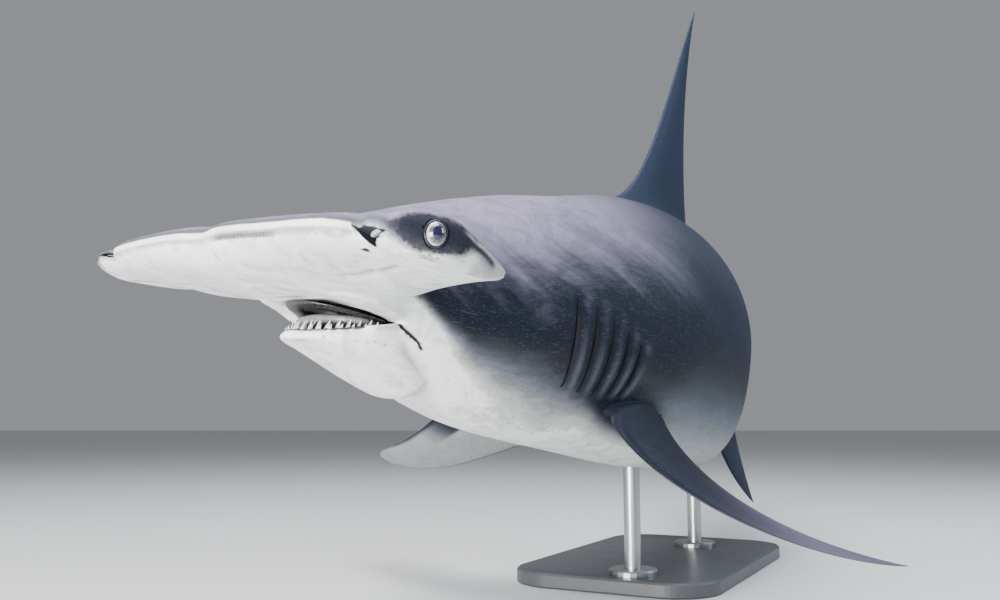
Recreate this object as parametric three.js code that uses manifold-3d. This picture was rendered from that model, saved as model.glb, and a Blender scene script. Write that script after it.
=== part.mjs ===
// A great hammerhead shark as a life-size still model, swimming with its head turned, held on a plain stand.
// Millimetres, +Z up. The animal looks along -Y, and the origin is on the floor under the middle of its box.
// Body shapes are written along a straight spine: x back from the snout, y to the animal's left and z to
// its back. pose() then bends that spine, and the pieces are joined and parted where they lie.

import * as THREE from "three";
import Module from "manifold-3d";

const wasm = await Module();
wasm.setup();

// Room left between two pieces that touch
const GAP = 0.3;

// Where the spine starts, above the floor
const SNOUT = new THREE.Vector3(-506, -1343.7, 584);

// The bend of the swimming body: station, turn from straight astern, nose-up slope and roll, in degrees
const BENDS = [
  [0, 43.2, 7.9, 4.1],
  [300, 43.2, 7.9, 4.1],
  [600, 45.0, -2.0, 4.8],
  [950, 35.1, 2.4, 6.3],
  [1400, 22.4, 0.7, 6.3],
  [1900, 8.6, -6.3, 6.3],
  [2450, 8.2, -2.8, 6.3],
  [3400, 11.2, 12.2, 6.3],
];

// The trunk: station, height of the back and depth of the belly from the spine, half width
const TRUNK = [
  [20, 8, 8, 60],
  [50, 32, 28, 88],
  [90, 46, 41, 104],
  [140, 62, 52, 116],
  [240, 102, 74, 134],
  [340, 147, 128, 146],
  [440, 180, 175, 158],
  [560, 205, 212, 175],
  [700, 223, 242, 190],
  [880, 258, 268, 196],
  [1060, 270, 281, 190],
  [1300, 248, 279, 172],
  [1550, 200, 243, 147],
  [1800, 160, 180, 124],
  [2050, 117, 129, 96],
  [2280, 87, 91, 68],
  [2440, 69, 67, 49],
  [2540, 50, 48, 34],
];

// How square the trunk's section is above and below the spine, at the head and behind the first back fin
const BACK_SHAPE = { side: 1.12, sideBehind: 0.96, rise: 0.95 };
const BELLY_SHAPE = { side: 0.86, sideBehind: 0.58, rise: 0.86 };

// Stations where the trunk is parted into lengths
const NECK_FRONT = 340;
const NECK_REAR = 780;
const TRUNK_MIDDLE = 1250;
const TAIL_FRONT = 1800;
const TAIL_REAR = 2400;

// The hammer, from tip to tip
const HAMMER = {
  half: 410,
  chord: 195,
  thickness: 35,
  taper: 6,
  droop: 8,
  camber: 11,
  pitch: 0.05,
  partedAt: 150,
};
const FRONT_EDGE = { sweep: 38, middleNotch: 10, nostrilNotch: 16, notchAcross: 308, tipRound: 56 };
const REAR_EDGE = { fillet: 90, filletReach: 0.6, flare: 12, flareFrom: 0.55 };
const TIP = { from: 0.92, rear: 105, eyeSwell: 7, thinning: 14 };
const FLEX = { from: 240, span: 100, slope: 0.04, flatten: 0.2 };
const NOSTRIL = { across: 322, back: 41, low: 12, length: 26, depth: 15, height: 9 };
const EYE = { back: 72, across: 393, low: 9, radius: 17, turn: 24 };
const LID = { radius: 15.5, thickness: 2.5, out: 7 };

// The mouth: the lower lip is an arch that opens backwards, and the upper lip is a slightly larger one.
// Towards its right corner the open mouth hangs lower.
const LOWER_LIP = { tip: 172, depth: 118, half: 104, low: 87, rise: 26 };
const UPPER_LIP = { tip: 155, depth: 133, half: 108, low: 50, rise: -11, sagFrom: 0.4 };
const MOUTH_SAG = { from: -10, span: 80, depth: 18 };
const UPPER_LIP_ROLL = { inset: 10, width: 13, height: 16 };
const CHEEKS = [
  { side: 1, middle: [225, 106, -42], radii: [62, 30, 34] },
  { side: -1, middle: [225, -98, -36], radii: [60, 26, 22] },
];
const JAW = { length: 200, chin: 108, deepen: 56, lipEdge: 12 };
const MOUTH_PLANE = 66;

// Gill slits, each leaning forwards towards its lower end
const GILLS = {
  count: 5,
  first: 592,
  pitch: 43.5,
  narrowing: 1.4,
  lean: 10,
  leanStep: 7,
  top: 25,
  topStep: -17,
  bottom: -120,
  bottomStep: -3,
};
const GILL_SLIT = { width: 7, depth: 15, proud: 8, undercut: 9 };

const DEG = Math.PI / 180;
const SPINE_STEP = 10;
const SPINE_START = -100;
const SPINE_END = 3400;

// A smooth curve through one column of a table whose first column is the station
function through(table, column, at) {
  const last = table.length - 1;
  const x = Math.min(Math.max(at, table[0][0]), table[last][0]);
  let row = 0;
  while (row < last - 1 && table[row + 1][0] <= x) row += 1;
  const slope = (index) => {
    const before = table[Math.max(index - 1, 0)];
    const after = table[Math.min(index + 1, last)];
    return (after[column] - before[column]) / (after[0] - before[0]);
  };
  const width = table[row + 1][0] - table[row][0];
  const t = (x - table[row][0]) / width;
  const t2 = t * t;
  const t3 = t2 * t;
  return (2 * t3 - 3 * t2 + 1) * table[row][column]
    + (t3 - 2 * t2 + t) * width * slope(row)
    + (3 * t2 - 2 * t3) * table[row + 1][column]
    + (t3 - t2) * width * slope(row + 1);
}

// Directions of the body at a station: back along the spine, to its left and towards its back
function directionsAt(station) {
  const turn = through(BENDS, 1, station) * DEG;
  const slope = through(BENDS, 2, station) * DEG;
  const roll = through(BENDS, 3, station) * DEG;
  const forward = new THREE.Vector3(
    -Math.sin(turn) * Math.cos(slope),
    -Math.cos(turn) * Math.cos(slope),
    Math.sin(slope),
  );
  const level = new THREE.Vector3(Math.cos(turn), -Math.sin(turn), 0);
  const upright = new THREE.Vector3().crossVectors(forward, level);
  const left = level.multiplyScalar(Math.cos(roll)).addScaledVector(upright, -Math.sin(roll));
  const up = new THREE.Vector3().crossVectors(forward, left);
  return { back: forward.negate(), left, up };
}

function makeSpine() {
  const knots = [];
  const at = new THREE.Vector3();
  for (let station = SPINE_START; station <= SPINE_END; station += SPINE_STEP) {
    const knot = directionsAt(station);
    at.addScaledVector(knot.back, SPINE_STEP);
    knots.push({ ...knot, at: at.clone() });
  }
  const shift = SNOUT.clone().sub(knots[-SPINE_START / SPINE_STEP].at);
  knots.forEach((knot) => knot.at.add(shift));
  return knots;
}

const SPINE = makeSpine();

// The right wing of the hammer is flexed: its tip is flatter, with the rear edge a little higher
function flexed([x, y, z]) {
  const amount = smooth((-y - FLEX.from) / FLEX.span) * (1 - smooth((x - 240) / 60));
  return z + amount * (FLEX.slope * (x - 40) - FLEX.flatten * (z + 8));
}

// A point of the straight body, carried to its place on the bent one
function pose(point) {
  const [x, y] = point;
  const z = flexed(point);
  const along = (x - SPINE_START) / SPINE_STEP;
  const index = Math.min(Math.max(Math.floor(along), 0), SPINE.length - 2);
  const t = along - index;
  const mixed = (name) => SPINE[index][name].clone().lerp(SPINE[index + 1][name], t);
  return mixed("at").addScaledVector(mixed("left"), y).addScaledVector(mixed("up"), z);
}

function signedVolume(points, faces) {
  const cross = new THREE.Vector3();
  let sum = 0;
  for (const [a, b, c] of faces) {
    sum += points[a].dot(cross.crossVectors(points[b], points[c])) / 6;
  }
  return sum;
}

function solidFrom(points, faces) {
  const turned = signedVolume(points, faces) < 0;
  const triVerts = new Uint32Array(faces.flatMap(([a, b, c]) => (turned ? [a, c, b] : [a, b, c])));
  const vertProperties = new Float32Array(points.flatMap((point) => point.toArray()));
  return new wasm.Manifold(new wasm.Mesh({ numProp: 3, vertProperties, triVerts }));
}

// A closed solid through rings of equally many points. The two halves of each ring are split into
// triangles alike, so that the faces of a thin curved fin run side by side.
function loft(rings) {
  const count = rings[0].length;
  const points = rings.flat();
  const faces = [];
  const corner = (ring, index) => ring * count + (index % count);
  for (let ring = 0; ring < rings.length - 1; ring += 1) {
    for (let index = 0; index < count; index += 1) {
      const a = corner(ring, index);
      const b = corner(ring, index + 1);
      const c = corner(ring + 1, index + 1);
      const d = corner(ring + 1, index);
      if (index < count / 2) faces.push([a, b, c], [a, c, d]);
      else faces.push([a, b, d], [b, c, d]);
    }
  }
  const middleOf = (ring) => {
    const middle = new THREE.Vector3();
    ring.forEach((point) => middle.add(point));
    return middle.divideScalar(count);
  };
  const first = points.push(middleOf(rings[0])) - 1;
  const last = points.push(middleOf(rings[rings.length - 1])) - 1;
  for (let index = 0; index < count; index += 1) {
    faces.push([corner(0, index + 1), corner(0, index), first]);
    faces.push([corner(rings.length - 1, index), corner(rings.length - 1, index + 1), last]);
  }
  return solidFrom(points, faces);
}

const range = (count) => Array.from({ length: count }, (_, index) => index);
const spread = (from, to, count) => range(count).map((index) => from + ((to - from) * index) / (count - 1));
const posedLoft = (rings) => loft(rings.map((ring) => ring.map(pose)));
const bump = (value, middle, width) => Math.exp(-(((value - middle) / width) ** 2));
const clamp = (value, low, high) => Math.min(Math.max(value, low), high);
const power = (value, exponent) => Math.sign(value) * Math.abs(value) ** exponent;
const smooth = (value) => clamp(value, 0, 1) ** 2 * (3 - 2 * clamp(value, 0, 1));

// A point of the trunk's skin, at an angle round the spine that starts at the left side
function trunkPoint(station, angle, grown = 0) {
  const across = Math.cos(angle);
  const rise = Math.sin(angle);
  const shape = rise >= 0 ? BACK_SHAPE : BELLY_SHAPE;
  const side = shape.side + (shape.sideBehind - shape.side) * smooth((station - 850) / 450);
  const half = through(TRUNK, 3, station) + grown;
  const reach = through(TRUNK, rise >= 0 ? 1 : 2, station) + grown;
  return [station, half * power(across, side), reach * power(rise, shape.rise)];
}

// Height of the trunk's side at a station, for a given distance below or above the spine
function angleAtHeight(station, height) {
  const up = height >= 0;
  const reach = through(TRUNK, up ? 1 : 2, station);
  const rise = (Math.abs(height) / reach) ** (1 / (up ? BACK_SHAPE : BELLY_SHAPE).rise);
  return (up ? 1 : -1) * Math.asin(Math.min(rise, 1));
}

const TRUNK_STATIONS = [
  20, 30, 50, 75, 100, 140, 180, 220, 260, 300, 340, 385, 430, 480, 530, 580, 630, 680, 730, 780, 840, 900,
  960, 1020, 1085, 1150, 1215, 1285, 1355, 1425, 1495, 1565, 1640, 1720, 1800, 1880, 1965, 2050, 2130,
  2210, 2290, 2350, 2400, 2440, 2480, 2515, 2540,
];
const TRUNK_SIDES = 30;

function trunkSolid(grown = 0) {
  const angles = range(TRUNK_SIDES).map((index) => (2 * Math.PI * index) / TRUNK_SIDES);
  return posedLoft(TRUNK_STATIONS.map((station) => angles.map((angle) => trunkPoint(station, angle, grown))));
}

// Front edge, rear edge and half thickness of the hammer, from 0 at the middle to 1 at the tip
function hammerSection(u) {
  const tip = clamp((u - TIP.from) / (1 - TIP.from), 0, 1);
  const flare = clamp((u - REAR_EDGE.flareFrom) / (TIP.from - REAR_EDGE.flareFrom), 0, 1);
  const nostril = FRONT_EDGE.notchAcross / HAMMER.half;
  const front = FRONT_EDGE.sweep * u ** 2.4
    + FRONT_EDGE.middleNotch * bump(u, 0, 0.09)
    + FRONT_EDGE.nostrilNotch * bump(u, nostril, 0.04)
    + FRONT_EDGE.tipRound * tip ** 1.3;
  const trail = HAMMER.chord
    + REAR_EDGE.fillet * Math.exp(-((u / REAR_EDGE.filletReach) ** 3))
    + REAR_EDGE.flare * flare ** 1.5;
  const rear = trail * (1 - tip) + TIP.rear * tip;
  const swell = TIP.eyeSwell * bump(u, 0.96, 0.07) - TIP.thinning * tip ** 3;
  const thickness = HAMMER.thickness - HAMMER.taper * u + swell;
  return { front, rear, thickness };
}

const HAMMER_RINGS = 43;
const HAMMER_SIDES = 18;

function hammerSolid() {
  const rings = spread(-1, 1, HAMMER_RINGS).map((v) => {
    const across = Math.sign(v) * (1 - (1 - Math.abs(v)) ** 1.5);
    const u = Math.abs(across);
    const { front, rear, thickness } = hammerSection(u);
    return range(HAMMER_SIDES).map((index) => {
      const angle = (2 * Math.PI * index) / HAMMER_SIDES;
      const chord = 0.5 - 0.5 * Math.cos(angle);
      const x = front + (rear - front) * chord;
      const swell = power(Math.sin(angle), 0.85) * thickness * (1 - 0.5 * chord);
      const root = Math.sin(angle) < 0 ? 1 + 0.7 * bump(u, 0, 0.42) : 1.1;
      const pitch = HAMMER.pitch * (x - 50) * clamp(1.5 * u, 0, 1);
      const camber = HAMMER.camber * smooth((x - 80) / 130) * (1 - u ** 4);
      return [x, across * HAMMER.half, 0.9 * swell * root - HAMMER.droop * u * u - pitch - camber];
    });
  });
  return posedLoft(rings);
}

const mouthSag = (y) => MOUTH_SAG.depth * smooth((MOUTH_SAG.from - y) / MOUTH_SAG.span);

// A point on the arch of a lip: 0 at the front, a right angle at the corner of the mouth
function lipPoint(lip, angle, inset = 0) {
  const back = 1 - Math.cos(angle);
  const x = lip.tip + lip.depth * back + inset * Math.cos(angle);
  const y = (lip.half - inset) * Math.sin(angle);
  const hang = lip.sagFrom ? smooth((back - lip.sagFrom) / (1 - lip.sagFrom)) : 1;
  return [x, y, -lip.low + lip.rise * back - mouthSag(y) * hang];
}

// The fleshy rim of the upper lip
function upperLipRoll() {
  return posedLoft(spread(-86, 86, 15).map((degrees) => {
    const angle = degrees * DEG;
    const [x, y, z] = lipPoint(UPPER_LIP, angle, UPPER_LIP_ROLL.inset);
    return range(8).map((index) => {
      const turn = (2 * Math.PI * index) / 8;
      const out = UPPER_LIP_ROLL.width * Math.cos(turn);
      const rise = UPPER_LIP_ROLL.height * Math.sin(turn);
      return [x - out * Math.cos(angle), y + out * Math.sin(angle), z + rise];
    });
  }));
}

const JAW_RINGS = 13;
const JAW_SIDES = 16;

function jawSolid() {
  const rings = spread(0.08, 1, JAW_RINGS).map((k) => {
    const grow = Math.sin((k * Math.PI) / 2);
    const back = 1 - Math.cos((k * Math.PI) / 2);
    const top = -LOWER_LIP.low + 20 * back;
    const chin = -JAW.chin - JAW.deepen * back;
    const edge = top - JAW.lipEdge;
    const bottom = Math.min(top + (chin - top) * Math.sqrt(grow), edge - 2);
    const half = LOWER_LIP.half * grow ** 0.9;
    return range(JAW_SIDES).map((index) => {
      const angle = (2 * Math.PI * index) / JAW_SIDES;
      const rise = Math.sin(angle);
      const y = half * power(Math.cos(angle), rise > 0 ? 0.55 : 0.85);
      const above = edge + (top - edge) * power(Math.abs(rise), 0.7);
      const below = edge - (edge - bottom) * power(Math.abs(rise), 0.85);
      const z = rise > 0 ? above : below;
      return [LOWER_LIP.tip + JAW.length * back, y, z - mouthSag(y) * Math.max(rise, 0)];
    });
  });
  return posedLoft(rings);
}

// The open space of the mouth: a hollow behind the lips, and the wedge between them
function mouthHollow() {
  const rings = spread(0.14, Math.PI - 0.3, 10).map((k) => range(14).map((index) => {
    const angle = (2 * Math.PI * index) / 14;
    const y = 82 * Math.sin(k) ** 0.7 * Math.cos(angle);
    const z = -60 + 34 * Math.sin(k) ** 0.6 * Math.sin(angle);
    return [256 - 74 * Math.cos(k), y, z];
  }));
  return posedLoft(rings);
}

// A slab between two surfaces that are given by their heights at a station and a distance across
const MOUTH_ROWS = [230, -10, -30, -50, -70, -90, -230];

function slab(stations, rows, low, high) {
  const bothSides = (x, y) => [pose([x, y, low(x, y)]), pose([x, y, high(x, y)])];
  const points = stations.flatMap((x) => rows.flatMap((y) => bothSides(x, y)));
  const at = (station, row, top) => 2 * (station * rows.length + row) + top;
  const faces = [];
  const quad = (a, b, c, d) => faces.push([a, b, c], [a, c, d]);
  const lastRow = rows.length - 1;
  const lastStation = stations.length - 1;
  for (let s = 0; s < lastStation; s += 1) {
    for (let r = 0; r < lastRow; r += 1) {
      quad(at(s, r, 0), at(s, r + 1, 0), at(s + 1, r + 1, 0), at(s + 1, r, 0));
      quad(at(s, r, 1), at(s + 1, r, 1), at(s + 1, r + 1, 1), at(s, r + 1, 1));
    }
    quad(at(s, 0, 0), at(s + 1, 0, 0), at(s + 1, 0, 1), at(s, 0, 1));
    quad(at(s, lastRow, 0), at(s, lastRow, 1), at(s + 1, lastRow, 1), at(s + 1, lastRow, 0));
  }
  for (let r = 0; r < lastRow; r += 1) {
    quad(at(0, r + 1, 0), at(0, r, 0), at(0, r, 1), at(0, r + 1, 1));
    quad(at(lastStation, r, 0), at(lastStation, r + 1, 0), at(lastStation, r + 1, 1), at(lastStation, r, 1));
  }
  return solidFrom(points, faces);
}

function mouthWedge() {
  const corner = LOWER_LIP.tip + LOWER_LIP.depth;
  const ahead = 90;
  const cornerHeight = -LOWER_LIP.low + LOWER_LIP.rise;
  const lower = (x) => -LOWER_LIP.low + LOWER_LIP.rise * clamp((x - LOWER_LIP.tip) / LOWER_LIP.depth, -1, 1);
  const upper = (x) => (x === corner ? cornerHeight + 1 : -UPPER_LIP.low - clamp((x - ahead) / 80, 0, 1));
  return slab(
    [ahead, LOWER_LIP.tip, corner],
    MOUTH_ROWS,
    (x, y) => lower(x) - (x === ahead ? 40 : 0) - mouthSag(y),
    (x, y) => upper(x) - (x === corner ? mouthSag(y) : 0),
  );
}

// The fold that runs on from each corner of the mouth
function lipCrease(side) {
  const path = [[276, 95, -57], [292, 101, -66], [308, 107, -78], [320, 111, -92]];
  return posedLoft(path.map(([x, y, z], index) => {
    const width = 4 - 0.8 * index;
    return [
      [x + width, side * (y + 30), z + width],
      [x - width, side * (y + 30), z - width],
      [x, side * (y - 6), z],
    ];
  }));
}

// One tooth: a flat, pointed blade with its root sunk in the gum
function tooth(lip, angle, inset, height, width, up) {
  const [x, y, z] = lipPoint(lip, angle, inset);
  const along = [Math.sin(angle), Math.cos(angle) * (lip.half / lip.depth)];
  const size = Math.hypot(...along);
  const tangent = along.map((value) => value / size);
  const normal = [tangent[1], -tangent[0]];
  const thick = 0.32 * width;
  const foot = z - up * 6;
  const cornerAt = (a, b) => [
    x + a * tangent[0] * Math.sign(angle || 1) + b * normal[0],
    y + a * tangent[1] + b * normal[1],
    foot,
  ];
  const base = [
    cornerAt(-width / 2, -thick / 2),
    cornerAt(width / 2, -thick / 2),
    cornerAt(width / 2, thick / 2),
    cornerAt(-width / 2, thick / 2),
  ];
  const tipPoint = [x + 3, y, z + up * height];
  const points = [...base, tipPoint].map(pose);
  return solidFrom(points, [[0, 1, 2], [0, 2, 3], [0, 4, 1], [1, 4, 2], [2, 4, 3], [3, 4, 0]]);
}

function gum(lip, inset, width, height, up) {
  const rings = spread(-70, 70, 17).map((degrees) => {
    const angle = degrees * DEG;
    const [x, y, z] = lipPoint(lip, angle, inset);
    const out = [-Math.cos(angle), Math.sin(angle)];
    return range(8).map((index) => {
      const turn = (2 * Math.PI * index) / 8;
      const side = (width / 2) * Math.cos(turn);
      return [x + side * out[0], y + side * out[1], z - up * 4 + up * height * Math.sin(turn)];
    });
  });
  return posedLoft(rings);
}

const LOWER_ROWS = [
  { inset: 8, height: 11, width: 11, teeth: 21, shift: 0 },
  { inset: 17, height: 14, width: 12, teeth: 18, shift: 0.5 },
];
const UPPER_ROWS = [{ inset: 12, height: 11, width: 11, teeth: 15, shift: 0 }];

function toothRows(lip, rows, up) {
  return rows.flatMap((row) => range(row.teeth).map((index) => {
    const place = ((index + row.shift) / (row.teeth - 1)) * 2 - 1;
    const angle = clamp(place, -1, 1) * 66 * DEG;
    const size = 1 - 0.35 * Math.abs(place) + 0.08 * Math.sin(7 * index);
    return tooth(lip, angle, row.inset, row.height * size, row.width * size, up);
  }));
}

// One gill slit, cut as a curved blade that reaches forwards under the skin
function gillSlit(side, index) {
  const back = GILLS.pitch * index - GILLS.narrowing * index ** 2;
  const top = { x: GILLS.first + back, z: GILLS.top + GILLS.topStep * index };
  const lean = GILLS.lean + GILLS.leanStep * index;
  const bottom = { x: top.x - lean, z: GILLS.bottom + GILLS.bottomStep * index };
  const rings = spread(0, 1, 8).map((t) => {
    const x = top.x + (bottom.x - top.x) * t * t;
    const z = top.z + (bottom.z - top.z) * t;
    const y = Math.abs(trunkPoint(x, angleAtHeight(x, z))[1]);
    const size = 0.25 + 0.75 * Math.sqrt(Math.sin(Math.PI * (0.04 + 0.92 * t)));
    const half = (GILL_SLIT.width / 2) * size;
    return [
      [x + half, side * (y + GILL_SLIT.proud), z],
      [x - half, side * (y + GILL_SLIT.proud), z],
      [x - half - GILL_SLIT.undercut, side * (y - GILL_SLIT.depth * size), z],
      [x + half - GILL_SLIT.undercut, side * (y - GILL_SLIT.depth * size), z],
    ];
  });
  return posedLoft(rings);
}

// A ball in the straight body's frame, stretched along its axes
function ballSolid(middle, [rx, ry, rz], turn = 0) {
  const rings = spread(0.12, Math.PI - 0.12, 8).map((polar) => range(14).map((index) => {
    const angle = (2 * Math.PI * index) / 14;
    const x = rx * Math.sin(polar) * Math.cos(angle);
    const y = ry * Math.cos(polar);
    const z = rz * Math.sin(polar) * Math.sin(angle);
    const c = Math.cos(turn);
    const s = Math.sin(turn);
    return [middle[0] + x * c - y * s, middle[1] + x * s + y * c, middle[2] + z];
  }));
  return posedLoft(rings);
}

const eyeMiddle = (side) => [EYE.back, side * EYE.across, -EYE.low];

// The ring of the lids, set round the eye on the hammer's tip
function lidSolid(side) {
  const around = 20;
  const turn = side * EYE.turn * DEG;
  const [cx, cy, cz] = eyeMiddle(side);
  const points = [];
  const faces = [];
  for (let index = 0; index < around; index += 1) {
    const angle = (2 * Math.PI * index) / around;
    for (let corner = 0; corner < 6; corner += 1) {
      const phase = (2 * Math.PI * corner) / 6;
      const radius = LID.radius + LID.thickness * Math.cos(phase);
      const out = side * (LID.out + LID.thickness * Math.sin(phase));
      const x = radius * Math.cos(angle);
      const z = radius * Math.sin(angle);
      const backward = x * Math.cos(turn) - out * Math.sin(turn);
      const across = x * Math.sin(turn) + out * Math.cos(turn);
      points.push(pose([cx + backward, cy + across, cz + z]));
      const a = index * 6 + corner;
      const b = index * 6 + ((corner + 1) % 6);
      const c = ((index + 1) % around) * 6 + ((corner + 1) % 6);
      const d = ((index + 1) % around) * 6 + corner;
      faces.push([a, b, c], [a, c, d]);
    }
  }
  return solidFrom(points, faces);
}

function bezier(points, t) {
  const w = [(1 - t) ** 3, 3 * t * (1 - t) ** 2, 3 * t * t * (1 - t), t ** 3];
  return [0, 1].map((axis) => points.reduce((sum, point, index) => sum + w[index] * point[axis], 0));
}

// A fin between two curved edges. Each edge point gives a distance back and a distance out from the root.
const FIN_SIDES = 12;

function finSolid({ lead, trail, sink, root, tip, rings, out, back, face, foot, curl = 0, side = 1 }) {
  const length = lead[3][1];
  const steps = [-1, ...spread(0, 1, rings)];
  const solidRings = steps.map((step) => {
    const t = Math.max(step, 0);
    const sunk = step < 0 ? sink : 0;
    const front = bezier(lead, t);
    const rear = bezier(trail, t);
    const chordEnd = t === 1 ? [front[0] + 5, rear[1]] : rear;
    const thickness = root + (tip - root) * t;
    return range(FIN_SIDES).map((index) => {
      const angle = (2 * Math.PI * index) / FIN_SIDES;
      const k = 0.5 - 0.5 * Math.cos(angle);
      const b = front[0] + (chordEnd[0] - front[0]) * k;
      const a = front[1] + (chordEnd[1] - front[1]) * k - sunk;
      const h = Math.sin(angle) * (1 - 0.5 * k) * thickness + curl * (a / length) ** 2;
      const point = [0, 1, 2].map((axis) => foot[axis] + a * out[axis] + b * back[axis] + h * face[axis]);
      return [point[0], side * point[1], point[2]];
    });
  });
  return posedLoft(solidRings);
}

const cross = (a, b) => new THREE.Vector3(...a).cross(new THREE.Vector3(...b)).toArray();

// The directions of a paired fin: out along it, back across it, and the way its upper face looks
function attitude({ droop, sweep, twist }) {
  const [d, s, w] = [droop * DEG, sweep * DEG, twist * DEG];
  const out = [Math.sin(s) * Math.cos(d), Math.cos(d) * Math.cos(s), -Math.sin(d)];
  const level = [Math.cos(s), -Math.sin(s), 0];
  const normal = cross(out, level);
  const back = level.map((value, axis) => value * Math.cos(w) + normal[axis] * Math.sin(w));
  return { out, back, face: cross(out, back) };
}

function pectoralFin(side, angles, curl) {
  return finSolid({
    lead: [[0, 0], [19, 178], [149, 373], [370, 444]],
    trail: [[245, 0], [208, 54], [187, 212], [370, 444]],
    foot: [658, 182, -161],
    sink: 75,
    root: 24,
    tip: 2,
    rings: 15,
    curl,
    side,
    ...attitude(angles),
  });
}

function pelvicFin(side, angles) {
  return finSolid({
    lead: [[0, 0], [19, 65], [39, 141], [165, 217]],
    trail: [[160, 0], [144, 54], [150, 120], [165, 217]],
    foot: [1554, 66, -186],
    sink: 45,
    root: 14,
    tip: 2,
    rings: 10,
    side,
    ...attitude(angles),
  });
}

// A fin on the middle line, standing up from the back or hanging from the belly
function middleFin({ station, lead, trail, root, rings, sink, up = 1 }) {
  const reach = through(TRUNK, up > 0 ? 1 : 2, station);
  return finSolid({
    lead,
    trail,
    foot: [station, 0, up * (reach - 10)],
    sink,
    root,
    tip: 2,
    rings,
    out: [0, 0, up],
    back: [1, 0, 0],
    face: [0, 1, 0],
  });
}

const SMALL_FIN = {
  lead: [[0, -20], [45, 55], [80, 110], [135, 152]],
  trail: [[195, 8], [128, 18], [108, 80], [135, 152]],
  root: 11,
  rings: 9,
  sink: 20,
};

function caudalLobe(lead, trail, root) {
  return finSolid({
    lead,
    trail,
    foot: [0, 0, 0],
    sink: 0,
    root,
    tip: 2,
    rings: 15,
    out: [0, 0, 1],
    back: [1, 0, 0],
    face: [0, 1, 0],
  });
}

// Everything between two stations, wide enough for the whole body
function lengthBetween(from, to) {
  const reach = 420;
  const steps = Math.max(Math.ceil((to - from) / 60), 1) + 1;
  return posedLoft(spread(from, to, steps).map((x) => [
    [x, reach, -reach],
    [x, reach, reach],
    [x, -reach, reach],
    [x, -reach, -reach],
  ]));
}

function blockThrough(stations, [y0, y1], [z0, z1]) {
  return posedLoft(stations.map((x) => [[x, y1, z0], [x, y1, z1], [x, y0, z1], [x, y0, z0]]));
}

const joined = (solids) => solids.reduce((sum, solid) => sum.add(solid));

function largest(solid) {
  const pieces = solid.decompose();
  pieces.sort((a, b) => b.volume() - a.volume());
  return pieces[0];
}

// The body, joined whole, then parted
const trunk = trunkSolid();
const trunkRoom = trunkSolid(GAP);
const wholeHead = joined([
  trunk,
  hammerSolid(),
  ...CHEEKS.map(({ middle, radii }) => ballSolid(middle, radii)),
  upperLipRoll(),
  jawSolid(),
  lidSolid(1),
  lidSolid(-1),
]);
const eyeRoom = (side) => ballSolid(eyeMiddle(side), Array(3).fill(EYE.radius + GAP), side * EYE.turn * DEG);
const hollows = joined([
  mouthHollow(),
  mouthWedge(),
  lipCrease(1),
  lipCrease(-1),
  eyeRoom(1),
  eyeRoom(-1),
  ...[1, -1].map((side) => ballSolid(
    [NOSTRIL.back, side * NOSTRIL.across, -NOSTRIL.low],
    [NOSTRIL.depth, NOSTRIL.length, NOSTRIL.height],
  )),
]);
const slits = joined([1, -1].flatMap((side) => range(GILLS.count).map((index) => gillSlit(side, index))));
const body = wholeHead.subtract(hollows).subtract(slits);
const half = GAP / 2;
const front = body.intersect(lengthBetween(-60, NECK_FRONT - half));
const parted = HAMMER.partedAt;
const WIDE = 600;
const HEAD_STATIONS = [-60, 300, 320, NECK_FRONT + 5];
const headWidth = [-parted + half, parted - half];
const headRows = [headWidth[1], ...MOUTH_ROWS.slice(1, -1), headWidth[0]];
const mouthPlane = (x, y) => -MOUTH_PLANE - mouthSag(y);
const aboveMouth = slab(HEAD_STATIONS, headRows, (x, y) => mouthPlane(x, y) + half, () => WIDE);
const belowMouth = slab(HEAD_STATIONS, headRows, () => -WIDE, (x, y) => mouthPlane(x, y) - half);
const wingBlock = (side) => blockThrough(
  [-60, 300],
  side > 0 ? [parted + half, WIDE] : [-WIDE, -parted - half],
  [-WIDE, WIDE],
);
const upperMouth = joined([gum(UPPER_LIP, 14, 16, 7, -1), ...toothRows(UPPER_LIP, UPPER_ROWS, -1)]);
const lowerMouth = joined([gum(LOWER_LIP, 13, 17, 6, 1), ...toothRows(LOWER_LIP, LOWER_ROWS, 1)]);

const caudalUpper = caudalLobe(
  [[2400, 50], [2600, 200], [2900, 500], [3180, 680]],
  [[2600, -30], [2660, 100], [2840, 360], [3180, 680]],
  40,
);
// The notch under the tip of the upper lobe: its apex, and the two corners that open it
const TAIL_NOTCH = [[3026, 567], [3078, 571], [3036, 527]];
const tailNotch = posedLoft([-40, 40].map((y) => TAIL_NOTCH.map(([x, z]) => [x, y, z])));
const caudalLower = caudalLobe(
  [[2420, -50], [2500, -180], [2580, -280], [2680, -380]],
  [[2620, 0], [2580, -100], [2600, -240], [2680, -380]],
  30,
);
const tailEnd = body.intersect(lengthBetween(TAIL_REAR + half, 2600));
const TAIL_STATIONS = spread(TAIL_REAR, 3300, 19);
const TAIL_FORK = -25;
const forkStations = [TAIL_REAR + half, ...TAIL_STATIONS.slice(1)];
const aboveFork = blockThrough(forkStations, [-200, 200], [TAIL_FORK + half, 800]);
const belowFork = blockThrough(forkStations, [-200, 200], [-800, TAIL_FORK - half]);
const fin = (solid) => largest(solid.subtract(trunkRoom));

// Stand: a flat plate and two rods up to the belly
const STAND = { length: 750, width: 440, thickness: 30, corner: 100, bevel: 4, x: 266, y: -312, turn: 28 };
const ROD = { radius: 17, flange: 50, flangeThickness: 12, stations: [1010, 1500], names: ["front", "rear"] };

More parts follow.
